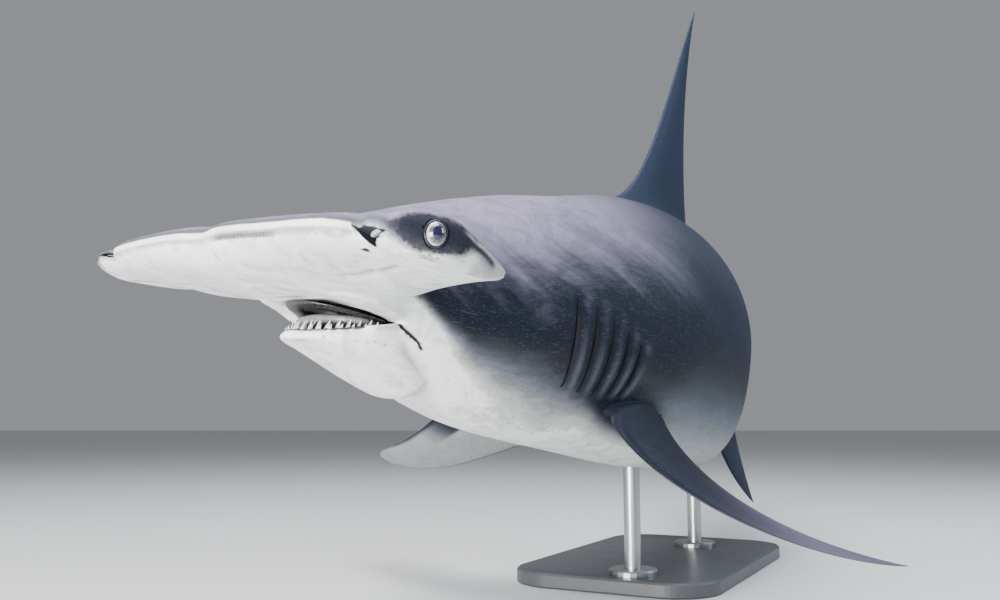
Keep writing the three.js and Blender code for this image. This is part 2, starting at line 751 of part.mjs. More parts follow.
function geometrySolid(geometry, matrix) {
  const position = geometry.getAttribute("position");
  const index = geometry.getIndex();
  const keys = new Map();
  const points = [];
  const corners = range(position.count).map((vertex) => {
    const point = new THREE.Vector3().fromBufferAttribute(position, vertex).applyMatrix4(matrix);
    const key = point.toArray().map((value) => value.toFixed(3)).join(" ");
    if (!keys.has(key)) keys.set(key, points.push(point) - 1);
    return keys.get(key);
  });
  const order = index ? Array.from(index.array) : range(position.count);
  const faces = range(order.length / 3)
    .map((face) => order.slice(3 * face, 3 * face + 3).map((vertex) => corners[vertex]))
    .filter(([a, b, c]) => a !== b && b !== c && a !== c);
  return solidFrom(points, faces);
}

function standPlate() {
  const { length, width, corner, bevel, thickness } = STAND;
  const x = length / 2 - corner - bevel;
  const y = width / 2 - corner - bevel;
  const shape = new THREE.Shape();
  shape.absarc(x, y, corner, 0, 90 * DEG);
  shape.absarc(-x, y, corner, 90 * DEG, 180 * DEG);
  shape.absarc(-x, -y, corner, 180 * DEG, 270 * DEG);
  shape.absarc(x, -y, corner, 270 * DEG, 360 * DEG);
  const geometry = new THREE.ExtrudeGeometry(shape, {
    depth: thickness - 2 * bevel,
    bevelEnabled: true,
    bevelSize: bevel,
    bevelThickness: bevel,
    bevelSegments: 1,
    curveSegments: 8,
  });
  const matrix = new THREE.Matrix4()
    .makeTranslation(STAND.x, STAND.y, bevel)
    .multiply(new THREE.Matrix4().makeRotationZ((90 - STAND.turn) * DEG));
  return geometrySolid(geometry, matrix);
}

function standRod(station) {
  const top = pose([station, 0, 0]);
  const { radius, flange, flangeThickness } = ROD;
  const start = STAND.thickness + GAP;
  const profile = [
    [0, start],
    [flange, start],
    [flange, start + flangeThickness - 3],
    [flange - 3, start + flangeThickness],
    [radius, start + flangeThickness],
    [radius, top.z],
    [0, top.z],
  ].map(([x, y]) => new THREE.Vector2(x, y));
  const geometry = new THREE.LatheGeometry(profile, 24);
  const matrix = new THREE.Matrix4()
    .makeTranslation(top.x, top.y, 0)
    .multiply(new THREE.Matrix4().makeRotationX(90 * DEG));
  return largest(geometrySolid(geometry, matrix).subtract(trunkRoom));
}

// Finishes
const finish = (color, roughness, metalness = 0) => () => (
  new THREE.MeshStandardMaterial({ color, roughness, metalness })
);
const skin = finish(0x7d8089, 0.55);
const paleSkin = finish(0xd9dad6, 0.55);
const eyeFinish = finish(0x2a2d44, 0.12);
const standFinish = finish(0x2b2d30, 0.45);

const parts = {
  head: [largest(front.intersect(aboveMouth).add(upperMouth.intersect(aboveMouth))), paleSkin],
  lower_jaw: [largest(front.intersect(belowMouth).add(lowerMouth)), paleSkin],
  hammer_left: [largest(front.intersect(wingBlock(1))), skin],
  hammer_right: [largest(front.intersect(wingBlock(-1))), skin],
  eye_left: [ballSolid(eyeMiddle(1), Array(3).fill(EYE.radius), EYE.turn * DEG), eyeFinish],
  eye_right: [ballSolid(eyeMiddle(-1), Array(3).fill(EYE.radius), -EYE.turn * DEG), eyeFinish],
  neck: [largest(body.intersect(lengthBetween(NECK_FRONT + half, NECK_REAR - half))), skin],
  trunk_front: [largest(body.intersect(lengthBetween(NECK_REAR + half, TRUNK_MIDDLE - half))), skin],
  trunk_middle: [largest(body.intersect(lengthBetween(TRUNK_MIDDLE + half, TAIL_FRONT - half))), skin],
  tail_stem: [largest(body.intersect(lengthBetween(TAIL_FRONT + half, TAIL_REAR - half))), skin],
  caudal_fin_upper: [largest(caudalUpper.subtract(tailNotch).intersect(aboveFork).add(tailEnd)), skin],
  caudal_fin_lower: [fin(caudalLower.intersect(belowFork)), skin],
  dorsal_fin_first: [fin(middleFin({
    station: 912,
    lead: [[-34, 3], [122, 52], [185, 350], [293, 536]],
    trail: [[440, -30], [296, 137], [257, 344], [293, 536]],
    root: 28,
    rings: 15,
    sink: 40,
  })), skin],
  dorsal_fin_second: [fin(middleFin({ station: 2050, ...SMALL_FIN })), skin],
  anal_fin: [fin(middleFin({ station: 1975, ...SMALL_FIN, up: -1 })), skin],
  pectoral_fin_left: [fin(pectoralFin(1, { droop: 54, sweep: 10.4, twist: -0.5 }, -226)), skin],
  pectoral_fin_right: [fin(pectoralFin(-1, { droop: 36.4, sweep: -8.3, twist: 28.3 }, -298)), skin],
  pelvic_fin_left: [fin(pelvicFin(1, { droop: 71.6, sweep: -8, twist: -10.5 })), skin],
  pelvic_fin_right: [fin(pelvicFin(-1, { droop: 50, sweep: -8, twist: -10.5 })), skin],
  stand_base: [standPlate(), standFinish],
};
ROD.stations.forEach((station, index) => {
  parts[`stand_rod_${ROD.names[index]}`] = [standRod(station), standFinish];
});

function meshOf(name, solid, material) {
  const { vertProperties, triVerts, numProp } = solid.getMesh();
  const points = range(vertProperties.length / numProp)
    .flatMap((vertex) => Array.from(vertProperties.slice(vertex * numProp, vertex * numProp + 3)));
  const geometry = new THREE.BufferGeometry();
  geometry.setAttribute("position", new THREE.Float32BufferAttribute(points, 3));
  geometry.setIndex(Array.from(triVerts));
  geometry.computeVertexNormals();
  const mesh = new THREE.Mesh(geometry, material());
  mesh.name = name;
  return mesh;
}

const shark = new THREE.Group();
for (const [name, [solid, material]] of Object.entries(parts)) {
  shark.add(meshOf(name, solid, material));
}

export default shark;
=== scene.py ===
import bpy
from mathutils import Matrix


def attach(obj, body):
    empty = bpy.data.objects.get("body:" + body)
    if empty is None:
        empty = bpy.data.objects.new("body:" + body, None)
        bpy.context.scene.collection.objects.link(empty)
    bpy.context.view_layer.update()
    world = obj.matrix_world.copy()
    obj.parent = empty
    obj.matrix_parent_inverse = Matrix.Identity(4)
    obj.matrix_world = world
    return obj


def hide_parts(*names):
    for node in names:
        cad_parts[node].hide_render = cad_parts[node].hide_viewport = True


bl_info = {
    "name": "Great hammerhead shark",
    "version": (1, 0, 0),
    "blender": (4, 5, 0),
    "location": "3D View > Sidebar > Shark",
    "description": "Dresses the solids of a life-size hammerhead with its skin, mouth, teeth and eyes",
    "category": "Add Mesh",
}

import math

import bmesh
import bpy
import numpy as np
from mathutils import Vector

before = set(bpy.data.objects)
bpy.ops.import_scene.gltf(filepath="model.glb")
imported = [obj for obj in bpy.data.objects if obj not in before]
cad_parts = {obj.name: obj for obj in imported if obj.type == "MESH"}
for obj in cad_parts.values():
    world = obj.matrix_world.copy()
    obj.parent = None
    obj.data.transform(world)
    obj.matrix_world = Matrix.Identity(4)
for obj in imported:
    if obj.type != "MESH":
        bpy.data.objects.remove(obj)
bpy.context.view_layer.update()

# The straight body, in metres: x back from the snout, y to the animal's left, z to its back.
# pose() bends it. The sizes are the solids' own, but for the tips of the tail and of the right
# pelvic fin and for the right cheek, which follow the photo a little more closely.
SNOUT = (-0.506, -1.3437, 0.584)

# Bend of the body: station, turn from straight astern, nose-up slope and roll, in degrees
BENDS = (
    (0.00, 43.2, 7.9, 4.1),
    (0.30, 43.2, 7.9, 4.1),
    (0.60, 45.0, -2.0, 4.8),
    (0.95, 35.1, 2.4, 6.3),
    (1.40, 22.4, 0.7, 6.3),
    (1.90, 8.6, -6.3, 6.3),
    (2.45, 8.2, -2.8, 6.3),
    (3.40, 11.2, 12.2, 6.3),
)

# Trunk: station, height of the back, depth of the belly, half width
TRUNK = (
    (0.02, 0.008, 0.008, 0.060),
    (0.05, 0.032, 0.028, 0.088),
    (0.09, 0.046, 0.041, 0.104),
    (0.14, 0.062, 0.052, 0.116),
    (0.24, 0.102, 0.074, 0.134),
    (0.34, 0.147, 0.128, 0.146),
    (0.44, 0.180, 0.175, 0.158),
    (0.56, 0.205, 0.212, 0.175),
    (0.70, 0.223, 0.242, 0.190),
    (0.88, 0.258, 0.268, 0.196),
    (1.06, 0.270, 0.281, 0.190),
    (1.30, 0.248, 0.279, 0.172),
    (1.55, 0.200, 0.243, 0.147),
    (1.80, 0.160, 0.180, 0.124),
    (2.05, 0.117, 0.129, 0.096),
    (2.28, 0.087, 0.091, 0.068),
    (2.44, 0.069, 0.067, 0.049),
    (2.53, 0.050, 0.048, 0.024),
    (2.61, 0.012, 0.012, 0.004),
)
BACK = {"side": 1.12, "behind": 0.96, "rise": 0.95}
BELLY = {"side": 0.86, "behind": 0.58, "rise": 0.86}

HAMMER = {
    "half": 0.410,
    "chord": 0.195,
    "thickness": 0.035,
    "taper": 0.006,
    "droop": 0.008,
    "camber": 0.011,
    "pitch": 0.05,
    "sweep": 0.038,
    "middle_notch": 0.010,
    "nostril": 0.308,
    "nostril_notch": 0.016,
    "tip_round": 0.056,
    "fillet": 0.090,
    "flare": 0.012,
    "tip_from": 0.92,
    "tip_rear": 0.105,
    "eye_swell": 0.007,
    "thinning": 0.014,
}
FLEX = {
    "from": 0.24,
    "span": 0.10,
    "behind": 0.24,
    "fade": 0.06,
    "slope": 0.04,
    "flatten": 0.2,
    "turns_at": (0.04, -0.008),
}
EYE = {"back": 0.072, "across": 0.393, "low": 0.009, "radii": (0.0132, 0.0170, 0.0159), "turn": 24}
LID = (0.0120, 0.0145)
LOWER_LIP = {"tip": 0.172, "depth": 0.118, "half": 0.104, "low": 0.092, "rise": 0.034}
UPPER_LIP = {"tip": 0.155, "depth": 0.133, "half": 0.108, "low": 0.050, "rise": -0.011, "sag_from": 0.4}
JAW = {"length": 0.200, "crest": 0.087, "chin": 0.108, "deepen": 0.056, "edge": 0.012}
CHEEKS = (
    ((0.225, 0.106, -0.042), (0.062, 0.030, 0.034)),
    ((0.240, -0.106, -0.046), (0.054, 0.028, 0.030)),
)
GILLS = {
    "count": 5,
    "first": 0.595,
    "pitch": 0.0435,
    "narrowing": 0.0014,
    "lean": 0.008,
    "lean_step": 0.006,
}

DEG = math.pi / 180
SPINE_STEP = 0.01
SPINE_START = -0.10
SPINE_END = 3.40

# Noted on the corners of a fin: how far along it, how far behind its front edge, and which face
MARKS = ("span", "chord", "upper")

# Pieces of the skin, as numbered on its faces
BODY = 0
FIN_NUMBERS = {
    "dorsal_fin_first": 1,
    "dorsal_fin_second": 2,
    "anal_fin": 3,
    "pectoral_fin_left": 4,
    "pectoral_fin_right": 5,
    "pelvic_fin_left": 6,
    "pelvic_fin_right": 7,
    "caudal_fin_upper": 8,
    "caudal_fin_lower": 9,
}
SLIT = 10
NOSTRIL_WALL = 11
SOCKET = 12
FLESH = (
    "head",
    "lower_jaw",
    "hammer_left",
    "hammer_right",
    "neck",
    "trunk_front",
    "trunk_middle",
    "tail_stem",
    *FIN_NUMBERS,
)


def through(table, column, at):
    """A smooth curve through one column of a table whose first column is the station."""
    rows = np.array(table, float)
    x = np.clip(np.asarray(at, float), rows[0, 0], rows[-1, 0])
    row = np.clip(np.searchsorted(rows[:, 0], x, side="right") - 1, 0, len(rows) - 2)
    before = np.maximum(np.arange(len(rows)) - 1, 0)
    after = np.minimum(np.arange(len(rows)) + 1, len(rows) - 1)
    slope = (rows[after, column] - rows[before, column]) / (rows[after, 0] - rows[before, 0])
    width = rows[row + 1, 0] - rows[row, 0]
    t = (x - rows[row, 0]) / width
    t2 = t * t
    t3 = t2 * t
    return (
        (2 * t3 - 3 * t2 + 1) * rows[row, column]
        + (t3 - 2 * t2 + t) * width * slope[row]
        + (3 * t2 - 2 * t3) * rows[row + 1, column]
        + (t3 - t2) * width * slope[row + 1]
    )


def make_spine():
    """Places and directions along the bent spine: at, back, left and up."""
    stations = np.arange(SPINE_START, SPINE_END + SPINE_STEP / 2, SPINE_STEP)
    turn, slope, roll = (through(BENDS, column, stations) * DEG for column in (1, 2, 3))
    forward = np.stack([-np.sin(turn) * np.cos(slope), -np.cos(turn) * np.cos(slope), np.sin(slope)], -1)
    level = np.stack([np.cos(turn), -np.sin(turn), 0 * turn], -1)
    upright = np.cross(forward, level)
    left = level * np.cos(roll)[:, None] - upright * np.sin(roll)[:, None]
    at = np.cumsum(-forward * SPINE_STEP, axis=0)
    start = round(-SPINE_START / SPINE_STEP)
    return at - at[start] + np.array(SNOUT), -forward, left, np.cross(forward, left)


SPINE = make_spine()


def pose(points):
    """Carries points of the straight body to their places on the bent one.

    The right wing of the hammer is flexed: its tip is flatter, with the rear edge a little higher.
    """
    points = np.array(points, float)
    flexed = smooth((-points[:, 1] - FLEX["from"]) / FLEX["span"])
    flexed = flexed * (1 - smooth((points[:, 0] - FLEX["behind"]) / FLEX["fade"]))
    behind, middle = FLEX["turns_at"]
    lift = FLEX["slope"] * (points[:, 0] - behind) - FLEX["flatten"] * (points[:, 2] - middle)
    points[:, 2] += flexed * lift
    along = (points[:, 0] - SPINE_START) / SPINE_STEP
    index = np.clip(along.astype(int), 0, len(SPINE[0]) - 2)
    t = (along - index)[:, None]
    at, _, left, up = (column[index] * (1 - t) + column[index + 1] * t for column in SPINE)
    return at + left * points[:, 1:2] + up * points[:, 2:3]


def bump(value, middle, width):
    """A soft hump: 1 at the middle, and nearly 0 two widths away."""
    return np.exp(-(((value - middle) / width) ** 2))


def power(value, exponent):
    """A power that keeps the sign."""
    return np.sign(value) * np.abs(value) ** exponent


def smooth(value):
    """Eases from 0 to 1, and stays there outside."""
    t = np.clip(value, 0, 1)
    return t * t * (3 - 2 * t)


def trunk_point(station, angle):
    """The trunk's skin, at an angle round the spine that starts at the left side."""
    across = np.cos(angle)
    rise = np.sin(angle)
    top = rise >= 0
    behind = smooth((station - 0.85) / 0.45)
    side = np.where(
        top,
        BACK["side"] + (BACK["behind"] - BACK["side"]) * behind,
        BELLY["side"] + (BELLY["behind"] - BELLY["side"]) * behind,
    )
    reach = np.where(top, through(TRUNK, 1, station), through(TRUNK, 2, station))
    rise_power = np.where(top, BACK["rise"], BELLY["rise"])
    half = through(TRUNK, 3, station)
    return np.stack([station, half * power(across, side), reach * power(rise, rise_power)], -1)


def trunk_section(angle, t):
    return trunk_point(TRUNK[0][0] + (TRUNK[-1][0] - TRUNK[0][0]) * t, angle)


def hammer_edges(u):
    """Front edge, rear edge and half thickness of the hammer, from 0 at the middle to 1 at the tip."""
    tip = np.clip((u - HAMMER["tip_from"]) / (1 - HAMMER["tip_from"]), 0, 1)
    flare = np.clip((u - 0.55) / (HAMMER["tip_from"] - 0.55), 0, 1)
    front = (
        HAMMER["sweep"] * u**2.4
        + HAMMER["middle_notch"] * bump(u, 0, 0.09)
        + HAMMER["nostril_notch"] * bump(u, HAMMER["nostril"] / HAMMER["half"], 0.04)
        + HAMMER["tip_round"] * tip**1.3
    )
    trail = HAMMER["chord"] + HAMMER["fillet"] * np.exp(-((u / 0.6) ** 3)) + HAMMER["flare"] * flare**1.5
    rear = trail * (1 - tip) + HAMMER["tip_rear"] * tip
    swell = HAMMER["eye_swell"] * bump(u, 0.96, 0.07) - HAMMER["thinning"] * tip**3
    return front, rear, HAMMER["thickness"] - HAMMER["taper"] * u + swell


def hammer_middle(x, u):
    """Height of the middle of the hammer's section."""
    pitch = HAMMER["pitch"] * (x - 0.05) * np.clip(1.5 * u, 0, 1)
    camber = HAMMER["camber"] * smooth((x - 0.08) / 0.13) * (1 - u**4)
    return -HAMMER["droop"] * u * u - pitch - camber


def hammer_section(angle, t):
    v = 2 * t - 1
    across = np.sign(v) * (1 - (1 - np.abs(v)) ** 1.5)
    u = np.abs(across)
    front, rear, thickness = hammer_edges(u)
    chord = 0.5 - 0.5 * np.cos(angle)
    x = front + (rear - front) * chord
    swell = power(np.sin(angle), 0.85) * thickness * (1 - 0.5 * chord)
    root = np.where(np.sin(angle) < 0, 1 + 0.7 * bump(u, 0, 0.42), 1.1)
    return np.stack([x, across * HAMMER["half"], 0.9 * swell * root + hammer_middle(x, u)], -1)


def mouth_sag(y):
    """How much lower the open mouth hangs towards its right corner."""
    return 0.018 * smooth((-0.010 - y) / 0.080)


def lip_point(lip, angle, inset=0.0):
    """The arch of a lip: 0 at the front, a right angle at the corner of the mouth."""
    back = 1 - np.cos(angle)
    x = lip["tip"] + lip["depth"] * back + inset * np.cos(angle)
    y = (lip["half"] - inset) * np.sin(angle)
    start = lip.get("sag_from", -1)
    sag = mouth_sag(y) * smooth((back - start) / (1 - start)) if start > 0 else mouth_sag(y)
    return np.stack([x, y, -lip["low"] + lip["rise"] * back - sag], -1)


def lip_roll(lip, width, height, inset, reach, lower=0.0, slant=0.0):
    """A rounded rim that follows the arch of a lip, and slants inwards below."""
    def section(angle, t):
        turn = (2 * t - 1) * reach * DEG
        point = lip_point(lip, turn, inset) - np.array([0, 0, lower])
        out = width * np.cos(angle) + slant * (np.sin(angle) - 1) / 2
        rim = np.stack([-out * np.cos(turn), out * np.sin(turn), height * np.sin(angle)], -1)
        return point + rim
    return section


def jaw_section(angle, t):
    k = (0.04 + 0.96 * t) * math.pi / 2
    grow = np.sin(k)
    back = 1 - np.cos(k)
    rise = np.sin(angle)
    arch = smooth((rise + 0.75) / 0.75)
    top = -LOWER_LIP["low"] + LOWER_LIP["rise"] * back
    edge = top - JAW["edge"]
    crest = -JAW["crest"] + 0.020 * back
    chin = -JAW["chin"] - JAW["deepen"] * back
    bottom = np.minimum(crest + (chin - crest) * np.sqrt(grow), edge - 0.002)
    half = LOWER_LIP["half"] * grow ** (0.9 + 0.1 * arch)
    y = half * power(np.cos(angle), np.where(rise > 0, 0.55, 0.85))
    above = edge + (top - edge) * np.abs(rise) ** 0.7
    below = edge - (edge - bottom) * np.abs(rise) ** 0.85
    z = np.where(rise > 0, above, below) - mouth_sag(y) * np.maximum(rise, 0)
    length = JAW["length"] + (LOWER_LIP["depth"] - JAW["length"]) * arch
    return np.stack([LOWER_LIP["tip"] + length * back, y, z], -1)


def ball(middle, radii, turn=0.0, square=1.0):
    """A rounded body in the straight frame, with its pole along y."""
    def section(angle, t):
        polar = (0.02 + 0.96 * t) * math.pi
        ring = np.sin(polar) ** square
        x = radii[0] * ring * np.cos(angle)
        y = -radii[1] * np.cos(polar)
        z = radii[2] * ring * np.sin(angle)
        c, s = math.cos(turn), math.sin(turn)
        return np.stack([middle[0] + x * c - y * s, middle[1] + x * s + y * c, middle[2] + z], -1)
    return section


def curve_through(knots, t):
    """A smooth curve through a few points, for t from 0 to 1."""
    table = [(index / (len(knots) - 1), *knot) for index, knot in enumerate(knots)]
    return np.stack([through(table, column, t) for column in range(1, len(knots[0]) + 1)], -1)


def gill_line(index, t):
    """Station and height of a gill slit, from its top to its bottom."""
    top = GILLS["first"] + GILLS["pitch"] * index - GILLS["narrowing"] * index * index
    x = top - (GILLS["lean"] + GILLS["lean_step"] * index) * t * t
    high = 0.025 - 0.017 * index
    low = -0.120 - 0.009 * index + 0.0012 * index * index
    return x, high + (low - high) * t


def side_of_trunk(x, z):
    """Half width of the trunk at a station and height."""
    top = z >= 0
    reach = np.where(top, through(TRUNK, 1, x), through(TRUNK, 2, x))
    rise = np.clip(np.abs(z) / reach, 0, 1) ** (1 / np.where(top, BACK["rise"], BELLY["rise"]))
    return np.abs(trunk_point(x, np.where(top, 1, -1) * np.arcsin(rise))[..., 1])


def gill_section(side, index):
    """A curved blade that cuts one gill slit and reaches forwards under the skin."""
    def section(angle, t):
        x, z = gill_line(index, t)
        y = side_of_trunk(x, z)
        size = 0.25 + 0.75 * np.sqrt(np.sin(math.pi * (0.04 + 0.92 * t)))
        depth = 0.5 - 0.5 * np.cos(angle)
        half = 0.0036 * size * (1 - 0.4 * depth)
        inward = -0.008 + 0.024 * size * depth
        across = half * np.sin(angle)
        return np.stack([x + across - 0.012 * depth, side * (y - inward), z], -1)
    return section


def bezier(points, t):
    """The two coordinates of a curve with four control points."""
    w = ((1 - t) ** 3, 3 * t * (1 - t) ** 2, 3 * t * t * (1 - t), t**3)
    return [sum(weight * point[axis] for weight, point in zip(w, points)) for axis in (0, 1)]


def attitude(droop, sweep, twist):
    """Directions of a paired fin: out along it, back across it, and the way its upper face looks."""
    d, s, w = droop * DEG, sweep * DEG, twist * DEG
    out = np.array([math.sin(s) * math.cos(d), math.cos(d) * math.cos(s), -math.sin(d)])
    level = np.array([math.cos(s), -math.sin(s), 0.0])
    back = level * math.cos(w) + np.cross(out, level) * math.sin(w)
    return out, back, np.cross(out, back)


UPRIGHT = (np.array([0.0, 0.0, 1.0]), np.array([1.0, 0.0, 0.0]), np.array([0.0, 1.0, 0.0]))
HANGING = (np.array([0.0, 0.0, -1.0]), np.array([1.0, 0.0, 0.0]), np.array([0.0, 1.0, 0.0]))
PECTORAL = {
    "lead": ((0, 0), (0.019, 0.178), (0.149, 0.373), (0.370, 0.444)),
    "trail": ((0.245, 0), (0.208, 0.054), (0.187, 0.212), (0.370, 0.444)),
    "foot": (0.658, 0.182, -0.161),
    "inward": np.array([0.0, 1.0, 0.0]),
    "sink": 0.060,
    "root": 0.024,
    "flare": 0.4,
    "notch": 0.032,
    "rows": 100,
    "sides": 64,
}
PELVIC = {
    "lead": ((0, 0), (0.019, 0.065), (0.039, 0.141), (0.165, 0.217)),
    "trail": ((0.160, 0), (0.144, 0.054), (0.150, 0.120), (0.165, 0.217)),
    "foot": (1.554, 0.066, -0.186),
    "sink": 0.040,
    "root": 0.014,
    "flare": 0.6,
    "rows": 40,
    "sides": 40,
}
SMALL_FIN = {
    "lead": ((0, -0.020), (0.045, 0.055), (0.080, 0.110), (0.135, 0.152)),
    "trail": ((0.195, 0.008), (0.128, 0.018), (0.108, 0.080), (0.135, 0.152)),
    "sink": 0.015,
    "root": 0.011,
    "flare": 0.8,
    "rows": 40,
    "sides": 40,
}
FINS = {
    "dorsal_fin_first": {
        "lead": ((-0.034, 0.003), (0.122, 0.052), (0.185, 0.350), (0.293, 0.536)),
        "trail": ((0.440, -0.030), (0.296, 0.137), (0.257, 0.344), (0.293, 0.536)),
        "foot": (0.912, 0, float(through(TRUNK, 1, 0.912)) - 0.010),
        "sink": 0.035,
        "root": 0.028,
        "flare": 0.9,
        "axes": UPRIGHT,
        "shade": 0.13,
        "rows": 90,
        "sides": 64,
    },
    "dorsal_fin_second": {
        **SMALL_FIN,
        "foot": (2.050, 0, float(through(TRUNK, 1, 2.050)) - 0.010),
        "axes": UPRIGHT,
        "shade": 0.12,
    },
    "anal_fin": {
        **SMALL_FIN,
        "foot": (1.975, 0, 0.010 - float(through(TRUNK, 2, 1.975))),
        "axes": HANGING,
        "shade": 0.02,
    },
    "pectoral_fin_left": {
        **PECTORAL,
        "axes": attitude(54, 10.4, -0.5),
        "curl": -0.226,
    },
    "pectoral_fin_right": {
        **PECTORAL,
        "axes": attitude(36.4, -8.3, 28.3),
        "curl": -0.298,
        "mirror": -1,
    },
    "pelvic_fin_left": {**PELVIC, "axes": attitude(71.6, -8, -10.5)},
    "pelvic_fin_right": {**PELVIC, "axes": attitude(45, -8, -10.5), "mirror": -1},
    "caudal_fin_upper": {
        "lead": ((2.400, 0.050), (2.600, 0.200), (2.900, 0.485), (3.175, 0.652)),
        "trail": ((2.600, -0.030), (2.660, 0.100), (2.840, 0.350), (3.175, 0.652)),
        "root": 0.040,
        "axes": UPRIGHT,
        "shade": 0.11,
        "rows": 90,
        "sides": 56,
    },
    "caudal_fin_lower": {
        "lead": ((2.420, -0.050), (2.500, -0.180), (2.580, -0.280), (2.680, -0.380)),
        "trail": ((2.620, 0.000), (2.580, -0.100), (2.600, -0.240), (2.680, -0.380)),
        "root": 0.030,
        "axes": UPRIGHT,
        "shade": 0.06,
        "rows": 56,
        "sides": 44,
    },
}


def buried_part(fin):
    """How much of a fin's rows lies inside the body, from 0 to 1."""
    sink = fin.get("sink", 0.0)
    return sink / (sink + abs(fin["lead"][3][1]))


def fin_section(fin):
    """A fin between two curved edges, rounded in front and thin behind, with a root that flares."""
    out, back, face = fin["axes"]
    inward = fin.get("inward", out)
    length = fin["lead"][3][1]
    sink = fin.get("sink", 0.0)
    buried = buried_part(fin)

    def section(angle, t):
        step = np.clip((t - buried) / (1 - buried), 0, 1)
        sunk = np.clip((buried - t) / max(buried, 1e-9), 0, 1) * sink if sink else 0 * t
        front = bezier(fin["lead"], step)
        rear = bezier(fin["trail"], step)
        end = rear[0] + np.where(step >= 1, 0.004, 0.0)
        chord = 0.5 - 0.5 * np.cos(angle)
        a = front[1] + (rear[1] - front[1]) * chord
        first = front[0] + fin.get("notch", 0) * np.exp(-np.maximum(front[1], 0) / 0.020)
        b = first + (end - first) * chord
        flare = 1 + fin.get("flare", 0) * np.exp(-np.maximum(a, 0) / 0.022)
        thickness = (fin["root"] * (1 - step) + 0.002 * step) * flare
        profile = np.sin(angle) * (1 - 0.5 * chord) * thickness
        h = profile + fin.get("curl", 0) * (a / length) ** 2
        point = np.array(fin.get("foot", (0, 0, 0))) + a[:, None] * out - sunk[:, None] * inward
        point = point + b[:, None] * back + h[:, None] * face
        point[:, 1] *= fin.get("mirror", 1)
        return point
    return section


def tube(bm, sides, rows, section, marked=False):
    """Wraps a grid into a closed body whose rings follow a section."""
    layers = [bm.verts.layers.float.new(name) for name in MARKS] if marked else ()
    made = bmesh.ops.create_grid(bm, x_segments=sides, y_segments=rows + 1, size=1)["verts"]
    flat = np.array([vert.co for vert in made])
    angle = math.pi * (flat[:, 0] + 1)
    row = np.rint((flat[:, 1] + 1) / 2 * (rows + 1))
    t = np.clip((row - 1) / (rows - 1), 0, 1)
    points = section(angle, t)
    for end in (0, rows + 1):
        points[row == end] = points[row == end].mean(axis=0)
    for vert, point in zip(made, points):
        vert.co = point
    for layer, values in zip(layers, (t, 0.5 - 0.5 * np.cos(angle), np.sin(angle))):
        for vert, value in zip(made, values):
            vert[layer] = value
    bmesh.ops.remove_doubles(bm, verts=made, dist=1e-6)


def slab(bm, cuts, place):
    """Cuts a cube into a grid along x and y, and moves its corners by their places from -1 to 1."""
    bmesh.ops.create_cube(bm, size=2)
    for axis, count in enumerate(cuts):
        across = [edge for edge in bm.edges if abs(edge.verts[0].co[axis] - edge.verts[1].co[axis]) > 1.9]
        bmesh.ops.subdivide_edges(bm, edges=across, cuts=count, use_grid_fill=True)
    corners = np.array([vert.co for vert in bm.verts])
    for vert, point in zip(bm.verts, place(*corners.T)):
        vert.co = point


def object_from(bm, name):
    bmesh.ops.recalc_face_normals(bm, faces=bm.faces)
    mesh = bpy.data.meshes.new(name)
    bm.to_mesh(mesh)
    bm.free()
    made = bpy.data.objects.new(name, mesh)
    bpy.context.scene.collection.objects.link(made)
    return made


def apply_modifiers(obj):
    """Makes an object's modified shape its own mesh."""
    graph = bpy.context.evaluated_depsgraph_get()
    mesh = bpy.data.meshes.new_from_object(obj.evaluated_get(graph))
    obj.modifiers.clear()
    obj.data = mesh


def modify(obj, kind, group=None, **settings):
    modifier = obj.modifiers.new(kind.lower(), kind)
    if group:
        modifier.vertex_group = group
    for name, value in settings.items():
        setattr(modifier, name, value)
    apply_modifiers(obj)


def drop(*objects):
    for obj in objects:
        bpy.data.objects.remove(obj)


def combine(obj, operation, others):
    """Joins or cuts an object with others, and removes them."""
    for other in others:
        before = len(obj.data.vertices)
        modify(obj, "BOOLEAN", operation=operation, object=other, solver="MANIFOLD")
        if len(obj.data.vertices) < 0.6 * before:
            raise RuntimeError(f"{other.name} couldn't be combined with {obj.name}")
    drop(*others)


def corners_of(mesh, what="co"):
    values = np.empty(len(mesh.vertices) * 3)
    mesh.vertices.foreach_get(what, values)
    return values.reshape(-1, 3)


def move_corners(mesh, points):
    mesh.vertices.foreach_set("co", np.asarray(points, float).ravel())
    mesh.update()


def weigh(obj, name, weights):
    """A vertex group with a weight for each corner, in twenty steps."""
    group = obj.vertex_groups.new(name=name)
    steps = np.rint(np.clip(weights, 0, 1) * 20).astype(int)
    for step in range(1, 21):
        group.add(np.flatnonzero(steps == step).tolist(), step / 20, "REPLACE")
    return name


def note(mesh, name, values):
    """Keeps a number or a vector for each corner, for the materials to read."""
    values = np.asarray(values, float)
    kind = "FLOAT_VECTOR" if values.ndim == 2 else "FLOAT"
    layer = mesh.attributes.get(name) or mesh.attributes.new(name, kind, "POINT")
    layer.data.foreach_set("vector" if values.ndim == 2 else "value", values.ravel())


def distance_to_line(points, line):
    """Distance from each point to a line through knots, and how far along the nearest place is."""
    line = np.asarray(line, float)
    best = np.full(len(points), 9.0)
    along = np.zeros(len(points))
    for index, (a, b) in enumerate(zip(line[:-1], line[1:])):
        edge = b - a
        t = np.clip(((points - a) @ edge) / (edge @ edge), 0, 1)
        gap = np.linalg.norm(points - a - t[:, None] * edge, axis=1)
        along = np.where(gap < best, (index + t) / (len(line) - 1), along)
        best = np.minimum(best, gap)
    return best, along


def one_tube(name, sides, rows, section, marked=False):
    """An object of one closed body."""
    bm = bmesh.new()
    tube(bm, sides, rows, section, marked)
    return object_from(bm, name)


# The skin

VOXEL = 0.003
BODY_TRIANGLES = 105000
THROAT = {"middle": (0.256, 0, -0.060), "radii": (0.074, 0.082, 0.034)}


